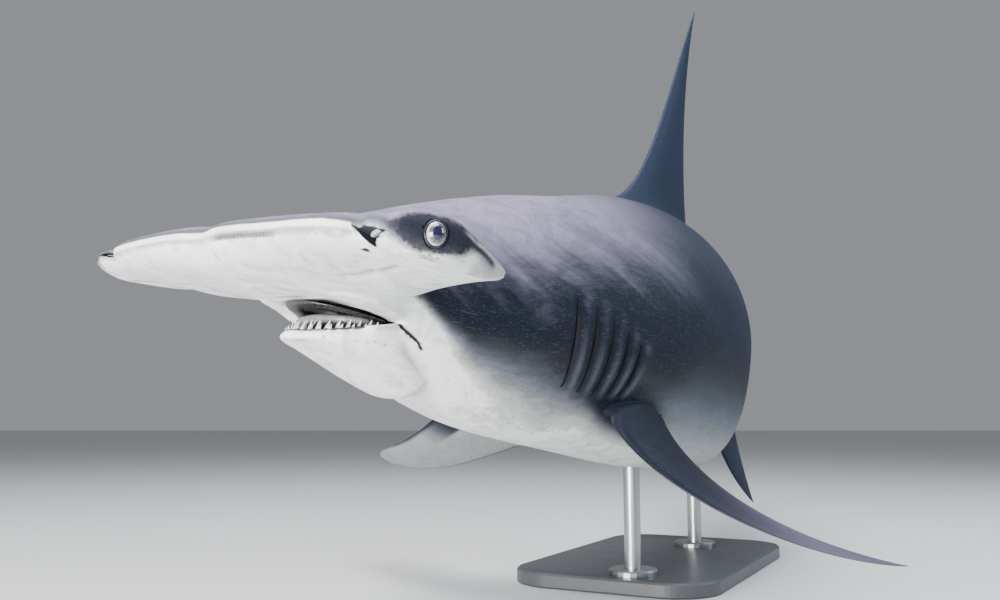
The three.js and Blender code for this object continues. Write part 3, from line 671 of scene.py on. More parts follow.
def body_core():
    """Trunk, hammer, cheeks, lips and jaw, melted into one body with soft hollows where they meet."""
    bm = bmesh.new()
    tube(bm, 128, 240, trunk_section)
    tube(bm, 72, 240, hammer_section)
    tube(bm, 40, 60, lip_roll(UPPER_LIP, 0.009, 0.014, 0.006, 86))
    tube(bm, 72, 60, jaw_section)
    tube(bm, 40, 60, lip_roll(LOWER_LIP, 0.006, 0.006, 0.008, 88, 0.004, 0.006))
    for middle, radii in CHEEKS:
        tube(bm, 40, 30, ball(middle, radii))
    core = object_from(bm, "shark_skin")
    modify(core, "REMESH", mode="VOXEL", voxel_size=VOXEL)
    rest = corners_of(core.data)
    x, y, z = rest.T
    wing_root = smooth((np.abs(y) - 0.07) / 0.05) * (1 - smooth((np.abs(y) - 0.16) / 0.06))
    blend = wing_root * smooth((x - 0.05) / 0.04) * (1 - smooth((x - 0.33) / 0.05))
    blend *= 1 - smooth((-z - 0.030) / 0.010) * (1 - smooth((x - 0.24) / 0.03))
    chin = bump(x, 0.37, 0.09) * smooth((-z - 0.07) / 0.04)
    cheek = bump(x, 0.26, 0.07) * smooth((-z - 0.01) / 0.02) * 0.7
    far_lip = bump(x, 0.165, 0.05) * bump(y, -0.095, 0.04) * bump(z, -0.035, 0.03)
    weigh(core, "soft", np.maximum.reduce([blend, chin, cheek, 0.8 * far_lip]))
    modify(core, "SMOOTH", group="soft", factor=0.5, iterations=80)
    modify(core, "SMOOTH", factor=0.5, iterations=3)
    return core


def mouth_cutters():
    corner = LOWER_LIP["tip"] + LOWER_LIP["depth"] - 0.007

    def wedge(x, y, z):
        station = 0.09 + (corner - 0.09) * (x + 1) / 2
        gape = np.clip((corner - station) / LOWER_LIP["depth"], 0, 1.6)
        across = 0.23 * y
        sag = mouth_sag(across)
        late = smooth(((station - UPPER_LIP["tip"]) / UPPER_LIP["depth"] - 0.4) / 0.6)
        low = -0.058 - 0.034 * gape - sag
        high = -0.056 + 0.011 * np.minimum(gape, 1) ** 0.6 - sag * late
        return np.stack([station, across, np.where(z > 0, high, low)], -1)

    bm = bmesh.new()
    slab(bm, (30, 60), wedge)
    yield object_from(bm, "mouth_wedge")
    yield one_tube("mouth_hollow", 48, 40, ball(THROAT["middle"], THROAT["radii"], 0, 0.7))


CREASE = (
    (0.2730, 0.1020, -0.0590),
    (0.2830, 0.1115, -0.0652),
    (0.2960, 0.1120, -0.0702),
    (0.3115, 0.1095, -0.0772),
    (0.3270, 0.1093, -0.0877),
)


def crease_section(side):
    def section(angle, t):
        x, y, z = curve_through(CREASE, t).T
        width = 0.0014 * (1 - 0.5 * t)
        depth = 0.5 - 0.5 * np.cos(angle)
        across = width * np.sin(angle)
        return np.stack([x + across, side * (y + 0.020 - 0.030 * depth), z + across], -1)
    return section


# Corners of a nostril, seen from the front: distance across and height
NOSTRIL_CORNERS = ((0.3000, -0.0010), (0.3210, -0.0265), (0.3610, -0.0115))


def nostril_section(side):
    """The three-cornered notch of a nostril in the front edge, which narrows inwards."""
    corners = np.array(NOSTRIL_CORNERS)
    middle = corners.mean(axis=0)

    def section(angle, t):
        place = angle / (2 * math.pi) * 3
        index = place.astype(int) % 3
        along = (place - np.floor(place))[:, None]
        outline = corners[index] * (1 - along) + corners[(index + 1) % 3] * along
        size = (1.04 - 0.62 * np.clip((t - 0.35) / 0.65, 0, 1)) ** 1.2
        rounded = middle + (outline - middle) * size[:, None]
        if side < 0:
            rounded[:, 1] = 0.004 + 0.35 * rounded[:, 1]
        return np.stack([0.012 + 0.050 * t, side * rounded[:, 0], rounded[:, 1] - 0.004 * t], -1)
    return section


def pit_section(side):
    """The small pit under a nostril."""
    return ball((0.0560, side * 0.300, -0.0285), (0.0055, 0.0050, 0.0060))


def melt(core, cutters):
    """Cuts the open mouth out of the core, and melts the edges of the cuts round."""
    combine(core, "DIFFERENCE", cutters)
    modify(core, "REMESH", mode="VOXEL", voxel_size=VOXEL)
    modify(core, "SMOOTH", factor=0.5, iterations=3)


def several_tubes(name, parts):
    """One object of several bodies that stay clear of each other."""
    bm = bmesh.new()
    for sides, rows, section in parts:
        tube(bm, sides, rows, section)
    return object_from(bm, name)


def number_faces(obj, number):
    layer = obj.data.attributes.get("piece") or obj.data.attributes.new("piece", "INT", "FACE")
    layer.data.foreach_set("value", np.full(len(obj.data.polygons), number, np.int32))
    return obj


def fine_cutters():
    """Gill slits, creases of the mouth's corners, nostrils and sockets of the eyes."""
    slits = []
    nostrils = []
    sockets = []
    for side in (1, -1):
        slits += [(20, 48, gill_section(side, index)) for index in range(GILLS["count"])]
        slits.append((16, 32, crease_section(side)))
        nostrils.append((42, 16, nostril_section(side)))
        nostrils.append((20, 12, pit_section(side)))
        sockets.append((48, 32, eye_section(side, 0.0004)))
    return (
        number_faces(several_tubes("slits", slits), SLIT),
        number_faces(several_tubes("nostrils", nostrils), NOSTRIL_WALL),
        number_faces(several_tubes("sockets", sockets), SOCKET),
    )


def swell_details(core):
    """Soft ridges behind the gill slits, folds at the neck and the swelling over each eye."""
    mesh = core.data
    rest = corners_of(mesh)
    normal = corners_of(mesh, "normal")
    x, y, z = rest.T
    lift = np.zeros(len(rest))
    near = np.flatnonzero((x > 0.5) & (x < 0.82) & (z > -0.19) & (z < 0.09) & (np.abs(y) > 0.09))
    t = np.linspace(-0.06, 1.06, 20)
    for side in (1, -1):
        for index in range(GILLS["count"]):
            gx, gz = gill_line(index, t)
            line = np.stack([gx + 0.013, side * side_of_trunk(gx, gz), gz], -1)
            gap, along = distance_to_line(rest[near], line)
            ridge = bump(gap, 0, 0.010) * np.sin(math.pi * np.clip(along, 0.0, 1.0)) ** 1.2
            lift[near] += 0.0046 * ridge
            ahead, _ = distance_to_line(rest[near], line - np.array([0.024, 0, 0]))
            hollow = bump(ahead, 0, 0.011)
            lift[near] -= 0.0034 * hollow * np.sin(math.pi * np.clip(along, 0.02, 0.98)) ** 0.6
    neck = bump(x, 0.44, 0.08) * (np.abs(y) > 0.06)
    lift += 0.0006 * neck * np.sin(95 * x + 22 * z + 2 * np.sin(30 * z)) * bump(z, 0.0, 0.13)
    throat = bump(x, 0.50, 0.14) * smooth((-z - 0.12) / 0.05)
    lift += 0.0006 * throat * np.sin(150 * np.abs(y) + 40 * x + 1.5 * np.sin(25 * x))
    for close, nearness, depth, _ in near_folds(rest):
        lift[close] -= depth * nearness
    move_corners(mesh, rest + normal * lift[:, None])


def eye_middle(side):
    return np.array([EYE["back"], side * EYE["across"], -EYE["low"]])


TAIL_NOTCH = ((3.029, 0.546), (3.061, 0.537), (3.038, 0.5145))


def notch_section(angle, t):
    """The three-cornered prism that cuts the notch behind the tail's tip."""
    corner = np.rint(angle / (2 * math.pi / 3)).astype(int) % 3
    outline = np.array(TAIL_NOTCH)[corner]
    return np.stack([outline[:, 0], 0.08 * t - 0.04, outline[:, 1]], -1)


def make_fin(name):
    fin = FINS[name]
    made = one_tube(name, fin["sides"], fin["rows"], fin_section(fin), True)
    number_faces(made, FIN_NUMBERS[name])
    if name == "caudal_fin_upper":
        combine(made, "DIFFERENCE", [one_tube("notch", 3, 2, notch_section)])
    return made


def soften_seams(skin, rings, rounds):
    """Smooths the corners near each line where two pieces of the skin meet."""
    bm = bmesh.new()
    bm.from_mesh(skin.data)
    piece = bm.faces.layers.int["piece"]
    seam = set()
    for edge in bm.edges:
        if len({face[piece] for face in edge.link_faces}) > 1:
            seam.update(edge.verts)
    for _ in range(rings):
        seam.update({edge.other_vert(vert) for vert in seam for edge in vert.link_edges})
    verts = list(seam)
    every_axis = {f"use_axis_{axis}": True for axis in "xyz"}
    for _ in range(rounds):
        bmesh.ops.smooth_vert(bm, verts=verts, factor=0.5, **every_axis)
    bm.to_mesh(skin.data)
    bm.free()


def shape_skin():
    """The whole skin on the straight spine, with its fins grown on and sockets for the eyes."""
    core = body_core()
    melt(core, list(mouth_cutters()))
    swell_details(core)
    triangles = sum(len(face.vertices) - 2 for face in core.data.polygons)
    modify(core, "DECIMATE", ratio=BODY_TRIANGLES / triangles)
    core.data.attributes.new("piece", "INT", "FACE")
    combine(core, "UNION", [make_fin(name) for name in FINS])
    soften_seams(core, 2, 6)
    combine(core, "DIFFERENCE", fine_cutters())
    return core


# The middle of the change from the dark flank to the white belly: station and height
BORDER = (
    (0.18, 0.002),
    (0.27, -0.014),
    (0.33, -0.043),
    (0.41, -0.085),
    (0.50, -0.115),
    (0.58, -0.137),
    (0.70, -0.147),
    (0.94, -0.158),
    (1.30, -0.178),
    (1.60, -0.175),
    (2.00, -0.090),
    (2.50, -0.030),
)


def away_from(place, points):
    """Distance of each point from the middle of a rounded place, in the place's own radii."""
    return np.linalg.norm((points - place["middle"]) / place["radii"], axis=1)


def piece_of_corners(mesh):
    """The number of the piece that each corner belongs to, a fin's own where it meets the body."""
    faces = np.empty(len(mesh.polygons), np.int32)
    mesh.attributes["piece"].data.foreach_get("value", faces)
    totals = np.empty(len(mesh.polygons), np.int32)
    mesh.polygons.foreach_get("loop_total", totals)
    loops = np.empty(len(mesh.loops), np.int32)
    mesh.loops.foreach_get("vertex_index", loops)
    piece = np.zeros(len(mesh.vertices), np.int32)
    np.maximum.at(piece, loops, np.repeat(faces, totals))
    return piece


def read_note(mesh, name):
    values = np.zeros(len(mesh.vertices))
    if name in mesh.attributes:
        mesh.attributes[name].data.foreach_get("value", values)
    return values


# Rounded places of the pattern, on both sides: middle and radii
EYE_PATCH = {"middle": (0.070, 0.400, -0.008), "radii": (0.052, 0.052, 0.023)}
UNDER_EYE = {"middle": (0.076, 0.384, -0.031), "radii": (0.016, 0.016, 0.008)}
LINING = {"middle": THROAT["middle"], "radii": (0.079, 0.087, 0.039)}

# Painted shade in the hollow over the root of each pectoral fin, along a line that falls towards the tail
ARMPIT_SHADE = {
    "station": 0.748,
    "reach": 0.095,
    "line": (0.755, -0.160),
    "fall": 0.31,
    "height": 0.033,
    "dark": 0.20,
}

# Folds of the skin: knots in the straight body, width, depth (negative for a ridge) and how dark the
# painted shade in the fold is
FOLDS = (
    (((0.0982, -0.3793, -0.0342), (0.116, -0.364, -0.0325), (0.13, -0.3431, -0.0311)), 0.0045, 0.003, 1.2),
    (((0.118, -0.26, -0.031), (0.1275, -0.2338, -0.0321), (0.141, -0.194, -0.0347)), 0.0045, 0.0032, 1.2),
    (((0.1201, 0.1698, -0.0345), (0.1254, 0.2039, -0.0331), (0.1201, 0.2495, -0.0312)), 0.007, 0.0034, 0.5),
    (((0.1201, 0.2495, -0.0312), (0.114, 0.28, -0.0306), (0.1053, 0.3039, -0.0302)), 0.005, 0.0032, 0.7),
    (((0.003, 0.0438, -0.006), (0.0033, 0.1185, -0.0085), (0.0096, 0.1834, -0.012)), 0.005, 0.003, 0.75),
    (((0.009, 0.185, -0.006), (0.01, 0.23, 0.0), (0.0167, 0.279, 0.001)), 0.007, -0.003, 0.0),
    (((0.005, 0.0, -0.002), (0.003, 0.06, 0.001), (0.003, 0.13, 0.0)), 0.007, -0.0024, 0.0),
    (((0.033, 0.301, -0.009), (0.03, 0.285, -0.012), (0.021, 0.26, -0.012)), 0.005, 0.0024, 0.45),
    (((0.056, 0.356, -0.029), (0.09, 0.36, -0.031), (0.14, 0.35, -0.031)), 0.012, -0.003, 0.0),
    (((0.255, 0.148, -0.034), (0.275, 0.148, -0.048), (0.3, 0.142, -0.064)), 0.009, 0.003, 0.25),
    (((0.265, 0.132, -0.056), (0.29, 0.126, -0.072), (0.315, 0.118, -0.09)), 0.008, -0.003, 0.0),
)


# The left wing tip's edge from the eye to the rear corner
TIP_EDGE = (
    (0.0968, 0.4092, 0.0020),
    (0.1328, 0.3990, -0.0017),
    (0.1505, 0.3932, -0.0032),
    (0.1809, 0.3848, -0.0097),
)

# Pores on the left of the jaw
JAW_PORES = (
    (0.1932, 0.0558, -0.0977),
    (0.2287, 0.0849, -0.0954),
    (0.2414, 0.0911, -0.0940),
    (0.2532, 0.0960, -0.0914),
    (0.2662, 0.0985, -0.0930),
    (0.2800, 0.0990, -0.1000),
)


def along_tip(points, lower, width):
    """How near each corner is to a line under the edge of either wing tip, from 0 to 1."""
    mirrored = points * np.array([1, 0, 1]) + np.abs(points) * np.array([0, 1, 0])
    near = np.flatnonzero((mirrored[:, 1] > 0.36) & (mirrored[:, 0] < 0.22))
    line = curve_through(TIP_EDGE, np.linspace(0, 1, 16)) - np.array([0, 0, lower])
    gap, along = distance_to_line(mirrored[near], line)
    found = np.zeros(len(points))
    found[near] = bump(gap, 0, width) * smooth((1 - np.abs(2 * along - 1)) / 0.3)
    return found


def gill_shade(x, y, z):
    """How far a corner is on the ridge behind a gill slit, for painted light, and in the hollow ahead of
    one, for painted shade.
    """
    pale = np.zeros(len(x))
    dark = np.zeros(len(x))
    for index in range(GILLS["count"]):
        _, high = gill_line(index, 0.0)
        _, low = gill_line(index, 1.0)
        t = (high - z) / (high - low)
        inside = ramp(t, -0.08, 0.05) * (1 - ramp(t, 0.95, 1.10)) * (np.abs(y) > 0.09)
        behind = x - gill_line(index, np.clip(t, 0, 1))[0]
        pale = np.maximum(pale, bump(behind, 0.0085, 0.0060) * inside * ramp(t, 0.15, 0.85))
        dark = np.maximum(dark, bump(behind, -0.0030, 0.0055) * inside)
    return pale, dark


def near_folds(points):
    """For each fold, the corners near it and how near they are, from 0 to 1."""
    for knots, width, depth, dark in FOLDS:
        line = curve_through(knots, np.linspace(0, 1, 24))
        low = line.min(axis=0) - 3 * width
        high = line.max(axis=0) + 3 * width
        near = np.flatnonzero(np.all((points > low) & (points < high), axis=1))
        gap, along = distance_to_line(points[near], line)
        yield near, bump(gap, 0, width) * smooth(np.minimum(along, 1 - along) / 0.12), depth, dark


def ramp(value, low, high):
    """0 below low and 1 above high."""
    return smooth((value - low) / (high - low))


def hammer_shade(x, y, above, behind_edge):
    """How far a place of the hammer lies above the border between its dark top and white underside."""
    side = np.abs(y)
    tip = ramp(side, 0.345, 0.375)
    of_hammer = above - 0.002 - 0.006 * ramp(behind_edge, 0.01, 0.05) * (1 - tip)
    under_tip = above + 0.010 - 0.026 * ramp(x, 0.09, 0.15)
    return 5.0 * (of_hammer * (1 - tip) + under_tip * tip)


def mouth_lining(rest, normal):
    """1 inside the mouth and 0 outside it."""
    x, y, z = rest.T
    back = np.clip((x - UPPER_LIP["tip"]) / UPPER_LIP["depth"], 0, 1)
    roof = -0.041 - 0.014 * back - mouth_sag(y) * smooth((back - 0.4) / 0.6)
    floor = -LOWER_LIP["low"] + LOWER_LIP["rise"] * back - mouth_sag(y)
    behind = np.minimum(x - 0.288, 0)
    arch = np.hypot(behind / 0.124, y / 0.099)
    between = ramp(z, floor - 0.004, floor) * (1 - ramp(z, roof - 0.003, roof + 0.001))
    between_lips = between * (1 - ramp(arch, 0.985, 1.030)) * (x < 0.335)
    lining = np.maximum(between_lips, 1 - ramp(away_from(LINING, rest), 0.95, 1.0))
    outward = (normal[:, 0] * behind + normal[:, 1] * y) / np.maximum(np.hypot(behind, y), 1e-6)
    return lining * (1 - ramp(outward, 0.15, 0.35))


def numbers_of(*kinds):
    """The numbers of the fins whose names start with one of the words."""
    return [number for name, number in FIN_NUMBERS.items() if name.startswith(kinds)]


def mark_skin(mesh):
    """Notes where the skin is dark, pale, creased or inside the mouth, and where light and shade are
    painted on it, before the body is bent.
    """
    rest = corners_of(mesh)
    normal = corners_of(mesh, "normal")
    piece = piece_of_corners(mesh)
    body = (piece == BODY) | (piece >= SLIT)
    x, y, z = rest.T
    side = np.abs(y)
    front, _, _ = hammer_edges(np.clip(side / HAMMER["half"], 0, 1))
    behind_edge = np.maximum(x - front, 0)
    above = z - hammer_middle(x, np.clip(side / HAMMER["half"], 0, 1))
    on_wing = ramp(side, 0.125, 0.160) * (1 - ramp(x, 0.23, 0.29))
    on_nose = 1 - ramp(x, 0.13, 0.22)
    # Painted shade over each pectoral fin's root, added to the countershading of the trunk
    over_line = z - ARMPIT_SHADE["line"][1] + ARMPIT_SHADE["fall"] * (x - ARMPIT_SHADE["line"][0])
    armpit_shade = bump(x, ARMPIT_SHADE["station"], ARMPIT_SHADE["reach"]) * bump(over_line, 0, ARMPIT_SHADE["height"])
    softness = 0.14 + 0.86 * ramp(x, 0.30, 0.55) + 0.8 * ramp(x, 0.82, 1.00)
    of_trunk = (z - through(BORDER, 1, x)) / softness + ARMPIT_SHADE["dark"] * armpit_shade
    of_hammer = hammer_shade(x, y, above, behind_edge)
    shade = of_trunk + (of_hammer - of_trunk) * np.maximum(on_wing, on_nose)
    upper = read_note(mesh, "upper")
    chord = read_note(mesh, "chord")
    span = read_note(mesh, "span")
    for name, number in FIN_NUMBERS.items():
        if "shade" in FINS[name]:
            shade = np.where(piece == number, FINS[name]["shade"], shade)
    pectoral = np.isin(piece, numbers_of("pectoral"))
    paired = np.isin(piece, numbers_of("pectoral", "pelvic"))
    shade = np.where(paired, 0.048 - 0.068 * np.clip(3 * upper, -1, 1), shade)
    # Painted shade on the front of each paired fin's root
    shade = np.where(paired & (chord < 0.25), shade + 0.10 * (1 - ramp(span, 0.15, 0.40)), shade)
    shade = np.where(paired & (span > 0.93), shade + 0.08 * ramp(span, 0.93, 0.99), shade)
    for name, number in FIN_NUMBERS.items():
        buried = buried_part(FINS[name])
        if buried:
            grown = ramp(span, buried, buried + 0.06)
            shade = np.where(piece == number, of_trunk * (1 - grown) + shade * grown, shade)
    folded = np.stack([x, side, z], -1)
    round_eye = 1 - ramp(away_from(EYE_PATCH, folded), 0.65, 1.25)
    under_eye = 0.52 * (1 - ramp(away_from(UNDER_EYE, folded), 0.2, 1.7))
    patch = np.maximum(round_eye, under_eye) * body * np.where(y > 0, 1, ramp(z, 0.006, 0.016))
    # Painted shade in the folds, and the dark pores of the jaw
    fold = np.zeros(len(rest))
    for near, nearness, _, dark in near_folds(rest):
        fold[near] = np.maximum(fold[near], dark * nearness)
    for pore in JAW_PORES:
        fold = np.maximum(fold, 1.2 * bump(np.linalg.norm(rest - np.array(pore), axis=1), 0, 0.0019))
    pale, dark = gill_shade(x, y, z)
    tall = piece == FIN_NUMBERS["dorsal_fin_first"]
    notes = {
        "gill pale": pale * (piece == BODY),
        "gill dark": dark * (piece == BODY),
        "tip pale": along_tip(rest, -0.0006, 0.0016) * body,
        "tip dark": along_tip(rest, 0.0066, 0.0058) * body,
        # How far forward a corner is: the painted light on the back, and the unevenness of the belly's
        # border, fade with it towards the tail
        "forward": (1 - ramp(x, 0.60, 1.00)) * body,
        "shade": shade,
        "up": normal[:, 2],
        "patch": patch,
        "inside": mouth_lining(rest, normal) * (piece == BODY),
        "slit": piece == SLIT,
        "nostril": piece == NOSTRIL_WALL,
        "rim": np.where(body & (x < 0.06), above, 1.0) + ramp(side, 0.300, 0.325),
        "fold": fold * body,
        "edge": np.where(body, 0, ramp(chord, 0.93, 0.985)),
        "blue": np.where(tall, 1.0, 0.5 * ramp(x, 0.80, 1.15) * ramp(shade, 0.05, 0.12)),
        # Painted shade towards the pectoral fins' roots, which also holds back the painted light there, and
        # painted sheen on their outer halves
        "fin": pectoral * (1 - ramp(span, 0.35, 0.85)),
        "sheen": pectoral * ramp(span, 0.40, 0.80),
        "corner": ramp(side, 0.355, 0.385) * ramp(x, 0.105, 0.150) * body * (x < 0.25),
    }
    for name, values in notes.items():
        note(mesh, name, values)


def finish_piece(obj, material, replaced=()):
    """Notes the places of a piece made on the straight spine, bends it and dresses it."""
    rest = corners_of(obj.data)
    note(obj.data, "straight", rest)
    move_corners(obj.data, pose(rest))
    obj.data.materials.clear()
    obj.data.materials.append(material)
    obj.data.shade_smooth()
    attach(obj, "root")
    if replaced:
        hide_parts(*replaced)


# Materials


class Wire:
    """An output of a material's node, for writing shader maths as expressions."""

    def __init__(self, paint, socket):
        self.paint = paint
        self.socket = socket

    def _math(self, operation, first, second=0.0):
        inputs = {0: first, 1: second}
        return self.paint.node("ShaderNodeMath", {"operation": operation}, inputs)

    def __add__(self, other):
        return self._math("ADD", self, other)

    def __radd__(self, other):
        return self._math("ADD", other, self)

    def __sub__(self, other):
        return self._math("SUBTRACT", self, other)

    def __rsub__(self, other):
        return self._math("SUBTRACT", other, self)

    def __mul__(self, other):
        return self._math("MULTIPLY", self, other)

    def __rmul__(self, other):
        return self._math("MULTIPLY", other, self)


class Paint:
    """A material under construction. node() adds a node of any type and hands back an output of it.

    A colour given as three numbers becomes one of four where it is mixed.
    """

    def __init__(self, name):
        self.material = bpy.data.materials.new(name)
        self.material.use_nodes = True
        self.tree = self.material.node_tree
        self.tree.nodes.clear()

    def node(self, kind, settings=None, inputs=None, output=0):
        made = self.tree.nodes.new(kind)
        for name, value in (settings or {}).items():
            if name == "stops":
                elements = made.color_ramp.elements
                while len(elements) < len(value):
                    elements.new(0.5)
                for element, (position, color) in zip(elements, value):
                    element.position = position
                    element.color = color
            else:
                setattr(made, name, value)
        for name, value in (inputs or {}).items():
            socket = made.inputs[name]
            if isinstance(value, Wire):
                self.tree.links.new(value.socket, socket)
            else:
                socket.default_value = value
        return Wire(self, made.outputs[output]) if made.outputs else None

    def number(self, name):
        return self.node("ShaderNodeAttribute", {"attribute_name": name}, output="Fac")

    def place(self, name="straight"):
        return self.node("ShaderNodeAttribute", {"attribute_name": name}, output="Vector")

    def stretch(self, vector, scale):
        return self.node("ShaderNodeVectorMath", {"operation": "MULTIPLY"}, {0: vector, 1: scale})

    def noise(self, vector, scale, detail=3.0, rough=0.55, warp=0.0):
        names = ("Vector", "Scale", "Detail", "Roughness", "Distortion")
        inputs = dict(zip(names, (vector, scale, detail, rough, warp)))
        return self.node("ShaderNodeTexNoise", None, inputs)

    def streaks(self, vector, scale, *settings):
        """Noise drawn out along the axes with the small scales."""
        return self.noise(self.stretch(vector, scale), 1.0, *settings)

    def axes(self, vector):
        return [self.node("ShaderNodeSeparateXYZ", None, {0: vector}, axis) for axis in range(3)]

    def ramp(self, value, stops):
        """A colour that changes with a value through several stops."""
        made = [(position, rgba(color)) for position, color in stops]
        return self.node("ShaderNodeValToRGB", {"stops": made}, {"Fac": value})

    def cells(self, vector, scale, feature="F1"):
        inputs = {"Vector": vector, "Scale": scale}
        return self.node("ShaderNodeTexVoronoi", {"feature": feature}, inputs)

    def step(self, value, low, high, smooth_step=True):
        """0 below low and 1 above high."""
        kind = "SMOOTHSTEP" if smooth_step else "LINEAR"
        inputs = {"Value": value, "From Min": low, "From Max": high}
        return self.node("ShaderNodeMapRange", {"interpolation_type": kind}, inputs)

    def band(self, value, rise, full, fall, end):
        """1 between full and fall, fading out to rise on one side and to end on the other."""
        return self.step(value, rise, full) * (1 - self.step(value, fall, end))

    def mix(self, first, second, amount):
        inputs = {0: amount, 6: rgba(first), 7: rgba(second)}
        return self.node("ShaderNodeMix", {"data_type": "RGBA"}, inputs, output=2)

    def layers(self, color, *coats):
        """Lays colours over the first one, each with its own amount."""
        for coat, amount in coats:
            color = self.mix(color, coat, amount)
        return color

    def finish(self, bump_height=None, bump_distance=0.001, bump_strength=1.0, **inputs):
        named = {name.replace("_", " "): value for name, value in inputs.items()}
        if bump_height is not None:
            bumps = {"Height": bump_height, "Distance": bump_distance, "Strength": bump_strength}
            named["Normal"] = self.node("ShaderNodeBump", None, bumps)
        shader = self.node("ShaderNodeBsdfPrincipled", None, named)
        self.node("ShaderNodeOutputMaterial", None, {"Surface": shader})
        return self.material


def rgba(color):
    """Four numbers for a colour of three. A node's output stays as it is."""
    return color if isinstance(color, Wire) else (color[0], color[1], color[2], 1.0)


def scaled(color, amount):
    """A colour made darker or brighter."""
    return [value * amount for value in color]


